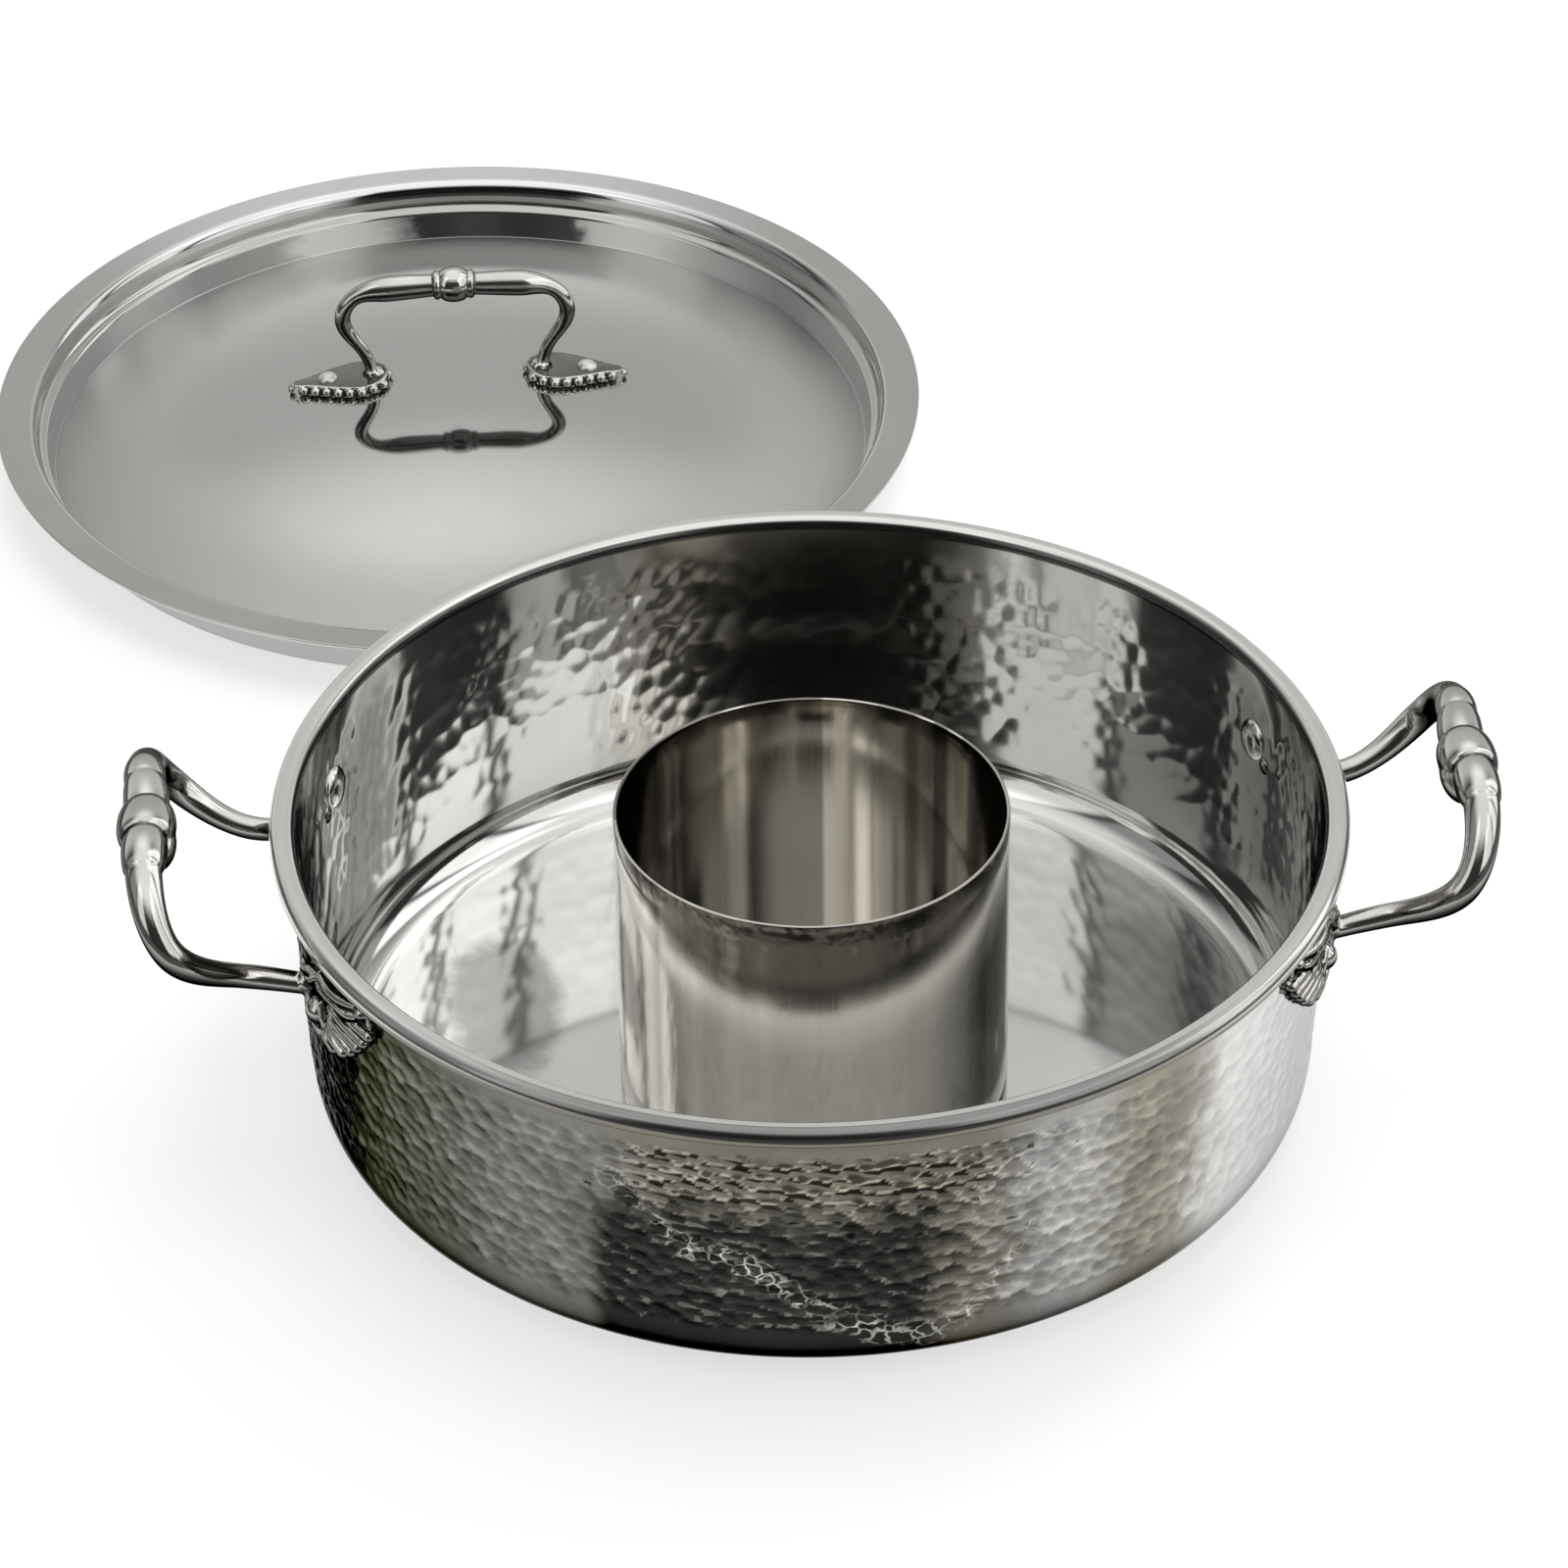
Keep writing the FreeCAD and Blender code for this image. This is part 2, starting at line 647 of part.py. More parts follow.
def lid_rivet_place(side):
    """Where a lid rivet passes through the dome's top face, and the direction out of it."""
    x = (size("leg_spread") + size("lid_rivet_out")) * side
    spot = Vector(x, 0, panel_height(abs(x)))
    return spot, (spot - dome_middle).normalize()


def lid_rivet(side):
    """A rivet down through pad and lid, domed on both ends."""
    spot, out = lid_rivet_place(side)
    thick = size("lid_thick")
    pad = size("pad_thick")
    sunk = size("head_sunk")
    head = size("lid_rivet_head")
    high = size("lid_rivet_dome") + sunk
    shank = Part.makeCylinder(size("lid_rivet_radius"), thick + pad, spot - out * thick, out)
    upper = dome(spot + out * (pad - sunk), out, head, high)
    lower = dome(spot - out * (thick - sunk), out * -1, head, high)
    return shank.fuse([upper, lower])


def lid_rivet_hole(side):
    spot, out = lid_rivet_place(side)
    radius = size("lid_rivet_radius") + size("rivet_play")
    through = (size("lid_thick") + size("pad_thick")) * 2
    return Part.makeCylinder(radius, through * 2, spot - out * through, out)


lid_hole_shapes = [lid_rivet_hole(1), lid_rivet_hole(-1)]
lid_holes = feature("lid_holes", Part.makeCompound(lid_hole_shapes), lid_place)
lid_pan = cut_out("lid_pan", lid_body, lid_holes)
lid_handle_solid = one_solid(lid_handle_shape().cut(lid_hole_shapes), "lid handle")
lid_handle = feature("lid_handle", lid_handle_solid, lid_place)
pan_here = lid_pan.Shape.copy()
pan_here.translate(lid_place.Base * -1)
lid_rivets = [one_solid(lid_rivet(side).cut([pan_here, lid_handle_solid]), "lid rivet") for side in (1, -1)]
lid_rivet_group = feature("lid_handle_rivets", Part.makeCompound(lid_rivets), lid_place)

# ---------------------------------------------------------------- check and write

single_nodes = [skin, core, lining, ring, right_handle, left_handle, lid_pan, lid_handle]
paired_nodes = [right_rivet_group, left_rivet_group, lid_rivet_group]
doc.recompute()
for item in doc.Objects:
    if "Invalid" in item.State or "Error" in item.State:
        raise RuntimeError(f"{item.Label} did not rebuild")
for count, nodes in ((1, single_nodes), (2, paired_nodes)):
    for node in nodes:
        if node.Shape.isNull() or not node.Shape.isValid() or len(node.Shape.Solids) != count:
            raise RuntimeError(f"{node.Label} has no sound shape of {count} solids")
for node in single_nodes + paired_nodes:
    node.Shape.exportStep(f"parts/{node.Label}.step")
    box = node.Shape.optimalBoundingBox()
    print(f"{node.Label}: volume {node.Shape.Volume:.1f}, z {box.ZMin:.2f} to {box.ZMax:.2f}, "
          f"x {box.XMin:.1f} to {box.XMax:.1f}, y {box.YMin:.1f} to {box.YMax:.1f}")
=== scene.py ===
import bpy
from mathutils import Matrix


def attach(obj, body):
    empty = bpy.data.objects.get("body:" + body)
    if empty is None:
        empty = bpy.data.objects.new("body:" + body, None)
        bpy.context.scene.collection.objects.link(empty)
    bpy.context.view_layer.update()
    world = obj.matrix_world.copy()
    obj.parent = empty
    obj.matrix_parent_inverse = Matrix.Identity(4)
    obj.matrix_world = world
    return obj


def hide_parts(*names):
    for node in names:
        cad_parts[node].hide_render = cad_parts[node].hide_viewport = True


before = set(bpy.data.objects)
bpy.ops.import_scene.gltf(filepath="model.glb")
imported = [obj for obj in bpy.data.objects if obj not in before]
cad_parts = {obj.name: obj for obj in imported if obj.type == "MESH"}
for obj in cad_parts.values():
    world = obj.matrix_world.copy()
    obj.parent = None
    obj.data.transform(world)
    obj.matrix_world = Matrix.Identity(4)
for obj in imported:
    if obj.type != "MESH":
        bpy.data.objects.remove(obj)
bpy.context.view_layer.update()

import math

import bmesh
import bpy
import numpy as np
from mathutils import Matrix, Vector

scene = bpy.context.scene
scene.view_settings.view_transform = "Standard"
mm = 0.001

cameraSettings = {
    "place": (-0.10244, -1.39494, 1.08042),
    "turn": (54.84117, 0.58604, -4.32505),
    "lens": 141.75,
    "sensor": 36,
    "nearest": 0.05,
}


def newObject(name, data):
    thing = bpy.data.objects.new(name, data)
    scene.collection.objects.link(thing)
    return thing


def addCamera():
    data = bpy.data.cameras.new("camera")
    data.lens = cameraSettings["lens"]
    data.sensor_width = cameraSettings["sensor"]
    data.clip_start = cameraSettings["nearest"]
    camera = newObject("camera", data)
    camera.location = cameraSettings["place"]
    camera.rotation_euler = [math.radians(v) for v in cameraSettings["turn"]]
    scene.camera = camera


addCamera()


# A number in a node tree. The usual signs work on it and add the nodes.
class Signal:
    def __init__(self, bench, socket):
        self.bench, self.socket = bench, socket

    def math(self, operation, *others):
        return self.bench.math(operation, self, *others)

    def __add__(self, other):
        return self.math("ADD", other)

    def __sub__(self, other):
        return self.math("SUBTRACT", other)

    def __rsub__(self, other):
        return self.bench.math("SUBTRACT", other, self)

    def __mul__(self, other):
        return self.math("MULTIPLY", other)

    def __truediv__(self, other):
        return self.math("DIVIDE", other)

    def __abs__(self):
        return self.math("ABSOLUTE")

    # toLow up to low and toHigh from high on, with an eased way between them.
    def ramp(self, low, high, toLow=0.0, toHigh=1.0, smooth=True):
        node = self.bench.add("ShaderNodeMapRange", {
            "Value": self, "From Min": low, "From Max": high, "To Min": toLow, "To Max": toHigh,
        }, interpolation_type="SMOOTHSTEP" if smooth else "LINEAR")
        return Signal(self.bench, node.outputs[0])

    # Rises from start to full and falls from leave to end.
    def between(self, start, full, leave, end, top=1.0, rest=0.0):
        return self.ramp(start, full) * self.ramp(leave, end, top, rest)

    # Turns a noise from 0 to 1 into a stray to both sides.
    def stray(self, size):
        return (self - 0.5) * size


# Adds and wires the nodes of one tree.
class NodeBench:
    def __init__(self, tree):
        self.tree = tree

    # inputs gives what feeds the node's sockets, by name or number.
    def add(self, kind, inputs=None, **given):
        node = self.tree.nodes.new(kind)
        for key, value in given.items():
            setattr(node, key, value)
        for key, value in (inputs or {}).items():
            self.feed(node.inputs[key], value)
        return node

    # Sets a socket to a value or a colour, or wires it to a signal, a socket or a node.
    def feed(self, socket, value):
        if isinstance(value, Signal):
            value = value.socket
        if isinstance(value, bpy.types.Node):
            value = value.outputs[0]
        if isinstance(value, bpy.types.NodeSocket):
            self.tree.links.new(value, socket)
        else:
            socket.default_value = (*value, 1) if socket.type == "RGBA" else value

    def math(self, operation, *values):
        node = self.add("ShaderNodeMath", dict(enumerate(values)), operation=operation)
        return Signal(self, node.outputs[0])

    def mix(self, share, first, second, blend="MIX"):
        node = self.add("ShaderNodeMix", {"Factor": share}, data_type="RGBA", blend_type=blend)
        for socket, given in zip([item for item in node.inputs if item.type == "RGBA"], (first, second)):
            self.feed(socket, given)
        return [item for item in node.outputs if item.type == "RGBA"][0]

    # A colour or a grey for each bearing round an axis, from (degrees, colour) pairs; it paints reflections
    # and shade by bearing.
    def reflectionTints(self, bearing, pairs):
        node = self.add("ShaderNodeValToRGB", {0: (bearing + 180.0) / 360.0})
        stops = node.color_ramp.elements
        for i, (angle, colour) in enumerate(pairs):
            at = (angle + 180) / 360
            stop = stops[0] if i == 0 else stops.new(at)
            stop.position = at
            stop.color = (*(colour if isinstance(colour, tuple) else (colour,) * 3), 1)
        while len(stops) > len(pairs):
            stops.remove(stops[-1])
        return node.outputs[0]

    # A smooth curve through (x, y) points, both from 0 to 1.
    def curve(self, value, points):
        node = self.add("ShaderNodeFloatCurve", {"Value": value})
        line = node.mapping.curves[0]
        for x, y in points[1:-1]:
            line.points.new(x, y)
        line.points[0].location = points[0]
        line.points[len(points) - 1].location = points[-1]
        node.mapping.update()
        return Signal(self, node.outputs[0])

    def grey(self, value):
        return self.add("ShaderNodeCombineColor", {0: value, 1: value, 2: value}).outputs[0]

    # The object's own coordinates, scaled and shifted.
    def place(self, scale=(1, 1, 1), shift=(0, 0, 0)):
        coords = self.add("ShaderNodeTexCoord").outputs["Object"]
        return self.add("ShaderNodeMapping", {"Vector": coords, "Location": shift, "Scale": scale}).outputs[0]

    def split(self, vector):
        return [Signal(self, socket) for socket in self.add("ShaderNodeSeparateXYZ", {0: vector}).outputs]

    # x, y, z, the bearing round the upright axis in degrees and the distance from it.
    def polar(self, vector):
        x, y, z = self.split(vector)
        return x, y, z, y.math("ARCTAN2", x).math("DEGREES"), (x * x + y * y).math("SQRT")

    def noise(self, vector, scale, detail=2.0, roughness=0.5):
        node = self.add("ShaderNodeTexNoise", {
            "Vector": vector, "Scale": scale, "Detail": detail, "Roughness": roughness})
        return Signal(self, node.outputs[0])

    def attribute(self, name):
        return Signal(self, self.add("ShaderNodeAttribute", attribute_name=name).outputs["Fac"])


# The bench of a material or world, cleared.
def benchOf(owner):
    owner.use_nodes = True
    owner.node_tree.nodes.clear()
    return NodeBench(owner.node_tree)


# A metal. build(bench) gives its colour, and None or what to add to its roughness and what tints its
# glancing shine. grain is how fine it is, how much it is drawn out upwards, the least and the greatest
# roughness, and the strength and distance of its bump.
def metal(name, build, grain):
    fine, drawn, low, high, strength, distance = grain
    material = bpy.data.materials.new(name)
    bench = benchOf(material)
    colour, rougher, glancing = build(bench)
    height = bench.noise(bench.place(scale=(1, 1, drawn)), fine, 3, 0.6)
    bump = bench.add("ShaderNodeBump", {"Strength": strength, "Distance": distance, "Height": height})
    roughness = height.ramp(0.3, 0.7, low, high)
    inputs = {"Metallic": 1.0, "Base Color": colour, "Normal": bump,
              "Roughness": roughness if rougher is None else roughness + rougher}
    if glancing is not None:
        inputs["Specular Tint"] = glancing
    bench.add("ShaderNodeOutputMaterial", {"Surface": bench.add("ShaderNodeBsdfPrincipled", inputs)})
    return material


pan = {
    "baseRadius": 141.2,
    "mouthRadius": 145.5,
    "height": 90.3,
    "cornerRadius": 15.3,
    "skin": 0.5,
    "core": 1.8,
    "lining": 0.5,
    "rimRadius": 150.0,
    "rimDepth": 5.6,
    "rimRound": 2.2,
    "rimCrown": 0.7,
}
# Hammer strikes of each side of the wall: the size of one, how it leans and strays, its random seed,
# (depth, seed) of slow waves, least and greatest depth, the heights between which they lie and the fade
# there, where they are shallower (by what share, first and last bearing, fade), and how deep in the wall
# a point may lie and still belong to this side.
strikes = {
    "outside": {"wide": 5.0, "high": 3.7, "deep": 0.62, "slant": 0.25, "jitter": 0.42, "seed": 4,
                "waves": (0.03, 2), "limits": (-0.3, 0.46), "heights": (14.0, 80.5, 5.0),
                "calm": (0.55, -60, 24, 14), "face": 0.25},
    "inside": {"wide": 7.5, "high": 6.5, "deep": 0.16, "slant": 0.2, "jitter": 0.42, "seed": 9,
               "waves": (0.05, 5), "limits": (-0.25, 0.42), "heights": (17.0, 82.0, 6.0),
               "calm": (0.7, 72, 101, 6), "face": 2.5},
}
panThick = pan["skin"] + pan["core"] + pan["lining"]
wallRise = (pan["mouthRadius"] - pan["baseRadius"]) / (pan["height"] - pan["rimDepth"])
wallTaper = math.atan(wallRise)

# Bearings are in degrees: the front is -90, the right is 0. Four numbers in a row say where something
# fades in and where it fades out.
hammeredFinish = {
    "grain": (2500, 1, 0.10, 0.20, 0.10, 0.00005),
    # painted reflections: the wall's colour at each bearing stands in for the room that it mirrors
    "reflectionTints": [
        (-180, (0.10, 0.10, 0.095)), (-168, (0.035, 0.035, 0.033)), (-158, (0.04, 0.04, 0.036)),
        (-152, (0.115, 0.115, 0.088)), (-140, (0.14, 0.14, 0.115)), (-132, (0.165, 0.165, 0.155)),
        (-117, (0.175, 0.175, 0.165)), (-112, (0.17, 0.158, 0.13)), (-76, (0.17, 0.158, 0.13)),
        (-69, (0.28, 0.28, 0.275)), (-63, (0.35, 0.35, 0.34)), (-58, (0.255, 0.237, 0.20)),
        (-51, (0.29, 0.27, 0.23)), (-44, (0.72, 0.72, 0.71)), (-29, (0.80, 0.805, 0.80)),
        (-12, (0.80, 0.805, 0.815)), (8, (0.75, 0.75, 0.74)), (40, (0.60, 0.60, 0.59)),
        (90, (0.52, 0.52, 0.505)), (150, (0.50, 0.495, 0.475)), (179, (0.14, 0.14, 0.13)),
    ],
    "wander": 10.0,  # degrees that the painted reflection tints stray
    "ridgeHollowShade": (1.2, 0.85),  # painted highlight on a strike's ridge and painted shade in its hollow: how bright each is
    "front": (-118, -110, -80, -68),  # where the strikes' painted highlights and shade are strongest
    "plainBand": (54, 66),  # mm up, the painted highlights and shade of the strikes are stronger above this
    "calm": (-58, -42, 8, 24),  # the even side
    "edge": (-62, -40, 130, 160),  # where the metal's glancing shine is strong
    "glancing": ((0.25,) * 3, (0.6,) * 3),
    "foot": (4, 24, 0.5),  # painted shade: the foot of the wall is darker
    "belly": (0.029, 0.029, 0.027),  # the painted dark reflection in front, below bellyTop
    "bellyTop": (56, 70),
    # painted highlights on the lower lips of the strikes in the belly
    "gleam": (0.16, 0.155, 0.145),
    # painted glints of the bright net
    "glint": (0.44, 0.43, 0.40),
    # the painted bright net of ridge glints lies along this line: (bearing + 120) / 60, height / 70 mm
    "glintLine": [(0.0, 0.97), (0.087, 0.886), (0.167, 0.69), (0.25, 0.62), (0.312, 0.586), (0.383, 0.47),
             (0.417, 0.40), (0.5, 0.286), (0.6, 0.20), (0.64, 0.20), (0.763, 0.42), (0.833, 0.64),
             (0.913, 0.80), (1.0, 0.86)],
    "glintLineEnds": (-120, -114, -74, -62),
    "netSize": 5.2,  # mm
    "netBend": 4.2,
    "netHalf": (1.5, 6.5),  # mm above and below the line of the painted glints
}


def hammeredSteel(bench):
    given = hammeredFinish
    here = bench.place()
    cloud = bench.noise(here, 30, 4, 0.6)
    small = bench.noise(here, 160, 3, 0.6)
    _, _, z, bearing, _ = bench.polar(here)
    height = z * 1000.0
    strike, dent, lip = [bench.attribute(title) for title in ("strike", "dent", "lip")]
    wander = (cloud - 0.5 + strike.stray(0.45)) * given["wander"]
    # painted reflections round the wall, by bearing
    paintedReflection = bench.reflectionTints(bearing + wander, given["reflectionTints"])
    front = bearing.between(*given["front"])
    lip = lip * front.ramp(0, 1, 1, 1.45)
    upper = lip.ramp(0.25, 0.85)
    lower = lip.ramp(-0.85, -0.3, 1, 0)
    # painted dark reflection on the belly, with painted gleams on the lower lips of the strikes
    window = (bearing + wander * 0.35).ramp(-120, -117) * (bearing + wander).ramp(-84, -77, 1, 0)
    belly = window * (height + strike * 9.0).ramp(*given["bellyTop"], 1, 0)
    colour = bench.mix(belly, paintedReflection, given["belly"])
    gleam = lower * belly * small.ramp(0.48, 0.62, 0, 0.5)
    colour = bench.mix(gleam, colour, given["gleam"])
    # painted glints: the edges of bent cells close to the line of the bright net
    glintLine = bench.curve((bearing + 120.0) / 60.0, given["glintLine"])
    off = height - glintLine * 70.0 + (cloud + small - 1.0) * 9.0
    bent = bench.add("ShaderNodeVectorMath", {
        0: bench.noise(here, 330).socket.node.outputs["Color"],
        1: (given["netBend"] * mm,) * 3,
        2: bench.place(scale=(1, 1, 1.5)),
    }, operation="MULTIPLY_ADD")
    net = bench.add("ShaderNodeTexVoronoi", {"Vector": bent, "Scale": 1000 / given["netSize"]},
                    feature="DISTANCE_TO_EDGE")
    glintNet = abs(off).ramp(*given["netHalf"], 1, 0) * Signal(bench, net.outputs[0]).ramp(0.02, 0.11, 1, 0)
    glintNet = glintNet * small.ramp(0.36, 0.56, 0.12, 1) * bearing.between(*given["glintLineEnds"], rest=0.1)
    colour = bench.mix(glintNet, colour, given["glint"])
    # painted shade on the upper lips and painted highlights on the lower lips of the strikes, painted
    # highlights on their ridges and painted shade in their hollows, and blotches of random tone, where the
    # tone of each strike stands in for its own reflection
    strong = front.ramp(0, 1, 0.42, 1.0, smooth=False) + front * height.ramp(*given["plainBand"], 0, 1.1)
    lipShade = (upper * -0.42 + lower * 0.5) * strong + 1.0
    ridgeHollowShade = dent.ramp(0.1, 0.8, *given["ridgeHollowShade"], smooth=False)
    shade = ridgeHollowShade * (cloud.ramp(0.3, 0.7, 0.7, 0.95) + strike * 0.3) * lipShade
    calm = bearing.between(*given["calm"], top=0.75)
    shade = shade + calm * (1.0 - shade)
    # painted shade, darker towards the foot of the wall
    low, high, level = given["foot"]
    colour = bench.mix(1.0, colour, bench.grey(shade * height.ramp(low, high, level, 1)), "MULTIPLY")
    return colour, None, bench.mix(bearing.between(*given["edge"]), *given["glancing"])


liningFinish = {
    "grain": (3500, 1, 0.05, 0.10, 0.04, 0.00003),
    "steel": ((0.84, 0.835, 0.815), (0.92, 0.92, 0.905)),
    # painted reflections and shade: how bright the wall is at each bearing; the far wall and the side by the
    # right handle are darker
    "paintedShading": [(-180, 0.82), (-60, 0.86), (-10, 0.66), (14, 0.40), (30, 0.62), (42, 0.90), (63, 0.86),
             (69, 0.38), (80, 0.40), (98, 0.55), (103, 1.0), (145, 1.0), (155, 0.82), (179, 0.82)],
    "wander": 16.0,  # degrees that it strays
    # painted dark reflections on the floor: middle and half size in mm, how bright
    "patches": [((-87, 28), (17, 35), 0.5), ((96, 10), (18, 46), 0.75)],
    "floor": 0.84,
    "rim": 0.86,
    "rimFront": 0.36,  # painted shade on the outer half of the rim in front
    "front": (-150, -115, -65, -30),
    "hem": (0.25, 0.23, 0.195),  # painted shade: the dark line under the rim's edge
    "rimShadeLine": (0.03, 0.03, 0.028),  # painted dark reflection: the line inside the rim
    "rimDull": 0.14,
}


def liningSteel(bench):
    given = liningFinish
    here = bench.place()
    cloud = bench.noise(here, 18, 3, 0.55)
    ripple = bench.noise(here, 70, 4, 0.65)
    x, y, z, bearing, reach = bench.polar(here)
    colour = bench.mix(cloud.ramp(0.3, 0.7), *given["steel"])
    rim = z.ramp(0.0868, 0.0878)
    # painted shade: a dark line under the rim's edge
    hem = reach.ramp(0.1460, 0.1470) * z.ramp(0.0870, 0.0880, 1, 0)
    colour = bench.mix(hem, colour, given["hem"])
    # painted dark reflection: a thin line inside the rim
    rimShadeLine = reach.ramp(0.1436, 0.1441, 1, 0) * z.ramp(0.0862, 0.0870)
    colour = bench.mix(rimShadeLine * 0.85, colour, given["rimShadeLine"])
    bearing = bearing + cloud.stray(given["wander"])
    # painted reflections and shade round the wall, by bearing
    paintedShading = bench.reflectionTints(bearing, given["paintedShading"])
    wall = z.between(0.012, 0.03, 0.0868, 0.0876)
    # painted shade on the outer half of the rim in front
    outer = reach.ramp(0.1464, 0.1470) * rim * bearing.between(*given["front"])
    level = z.ramp(0.008, 0.02, given["floor"], given["rim"]) * (outer * (given["rimFront"] - 1) + 1.0)
    # painted dark reflections on the pan's floor
    for (middleX, middleY), (halfX, halfY), bright in given["patches"]:
        offX = (x - middleX * mm) / (halfX * mm)
        offY = (y - middleY * mm) / (halfY * mm)
        off = offX * offX + offY * offY + ripple.stray(1.1)
        patch = off.ramp(0.5, 1.3, 1, 0) * z.ramp(0.004, 0.006, 1, 0)
        level = level * (patch * (bright - 1) + 1.0)
    colour = bench.mix(1.0, colour, bench.mix(wall, bench.grey(level), paintedShading), "MULTIPLY")
    return colour, rim * given["rimDull"], None


hammeredMetal = metal("hammered skin steel", hammeredSteel, hammeredFinish["grain"])
liningMetal = metal("polished lining steel", liningSteel, liningFinish["grain"])


# Points of an arc in the (radius, height) plane, degrees.
def arc(middle, radius, start, end, steps):
    angles = np.radians(np.linspace(start, end, steps + 1))
    return [(middle[0] + radius * math.cos(a), middle[1] + radius * math.sin(a)) for a in angles]


# Points from first towards last, without last.
def line(first, last, steps):
    return [(first[0] + (last[0] - first[0]) * i / steps, first[1] + (last[1] - first[1]) * i / steps)
            for i in range(steps)]


def meshOf(vertices, faces=()):
    mesh = bpy.data.meshes.new("shape")
    mesh.from_pydata([tuple(v * mm for v in spot) for spot in vertices], [], faces)
    return mesh


# Gives every point of the mesh a number for its material.
def mark(mesh, title, values):
    mesh.attributes.new(title, "FLOAT", "POINT").data.foreach_set("value", values.astype(np.float32))


# A closed solid turned about a vertical axis. outline is in millimetres, counter-clockwise with
# radius to the right, and may start and end on the axis. dents gives how far each point goes in.
def turnedMesh(outline, columns, centre=(0, 0), dents=None):
    points = np.array(outline, float)
    rows = len(points)
    onAxis = points[:, 0] < 1e-6
    angles = np.arange(columns) * 2 * math.pi / columns
    radius = np.repeat(points[:, :1], columns, axis=1)
    height = np.repeat(points[:, 1:], columns, axis=1)
    marks = {}
    if dents is not None:
        ahead = np.roll(points, -1, axis=0) - np.roll(points, 1, axis=0)
        normals = np.stack([ahead[:, 1], -ahead[:, 0]], axis=1)
        normals /= np.maximum(np.linalg.norm(normals, axis=1), 1e-9)[:, None]
        depth, marks = dents(points, angles)
        radius = radius - normals[:, :1] * depth
        height = height - normals[:, 1:] * depth
    vertices, start = [], []
    for row in range(rows):
        start.append(len(vertices))
        if onAxis[row]:
            vertices.append((centre[0], centre[1], height[row, 0]))
        else:
            xs = centre[0] + radius[row] * np.cos(angles)
            ys = centre[1] + radius[row] * np.sin(angles)
            vertices.extend(zip(xs, ys, height[row]))
    faces = []
    for row in range(rows):
        after = (row + 1) % rows
        for i in range(0 if onAxis[row] and onAxis[after] else columns):
            j = (i + 1) % columns
            lower = [start[row]] if onAxis[row] else [start[row] + i, start[row] + j]
            upper = [start[after]] if onAxis[after] else [start[after] + j, start[after] + i]
            faces.append(lower + upper)
    mesh = meshOf(vertices, faces)
    mesh.update()
    mesh.shade_smooth()
    for title, grid in marks.items():
        values = [grid[row][:1] if onAxis[row] else grid[row] for row in range(rows)]
        mark(mesh, title, np.concatenate(values))
    return mesh


# Long shallow waves round the wall, which close on themselves.
def slowWaves(sideways, upwards, around, deep, seed):
    random = np.random.default_rng(seed)
    total = np.zeros(sideways.shape)
    for times in (7, 11, 17, 26):
        turn, lean = random.uniform(0, 6.28), random.uniform(-0.06, 0.06)
        total += np.sin(sideways * times * 2 * math.pi / around + upwards * lean * 2 + turn) / times * 8
    return deep * total / 2


# Overlapping hammer strikes: shallow bowls that meet in ridges. Gives the depth, one random number
# from 0 to 1 for each strike, and the place within the strike from -1 (below) to 1 (above).
def strikeDents(sideways, upwards, around, given):
    random = np.random.default_rng(given["seed"])
    high, jitter = given["high"], given["jitter"]
    across = int(round(around / given["wide"]))
    wide = around / across
    lowest = int(math.floor(upwards.min() / high)) - 3
    tall = int(math.ceil(upwards.max() / high)) - lowest + 4
    shiftX, shiftY, deeper, number = [random.uniform(low, top, (tall, across)) for low, top in (
        (-jitter, jitter), (-jitter, jitter), (-0.12, 0.12), (0, 1))]
    best = np.full(sideways.shape, 9.0)
    tone = np.zeros(sideways.shape)
    lip = np.zeros(sideways.shape)
    row = np.floor(upwards / high).astype(int) - lowest
    column = np.floor(sideways / wide).astype(int)
    for stepRow in range(-2, 3):
        for stepColumn in range(-2, 3):
            r = row + stepRow
            c = column + stepColumn
            inside = np.mod(c, across)
            x = (c + 0.5 + 0.5 * np.mod(r, 2) + shiftX[r, inside]) * wide
            y = (r + lowest + 0.5 + shiftY[r, inside]) * high
            offX = (sideways - x) / wide
            offY = (upwards - y) / high + given["slant"] * offX
            off = offX ** 2 + offY ** 2 + deeper[r, inside]
            tone = np.where(off < best, number[r, inside], tone)
            lip = np.where(off < best, offY * 2, lip)
            best = np.minimum(best, off)
    return given["deep"] * (0.55 - best / 0.6), tone, lip


# The radius of the surface that lies depth inside the wall's outer face.
def wallRadius(depth, height):
    return pan["baseRadius"] + height * wallRise - depth * math.sqrt(1 + wallRise ** 2)


# The curve from floor to wall of that surface.
def roundedTurn(depth, steps):
    radius = pan["cornerRadius"] - depth
    slope = math.degrees(wallTaper)
    reach = radius * math.tan(math.radians(45 - slope / 2))
    middle = (wallRadius(depth, depth) - reach, depth + radius)
    return arc(middle, radius, -90, -slope, steps)


# 1 between low and high, fading to 0 outside.
def band(values, low, high, fade):
    both = np.clip(np.minimum(values - low, high - values) / fade, 0, 1)
    return both * both * (3 - 2 * both)


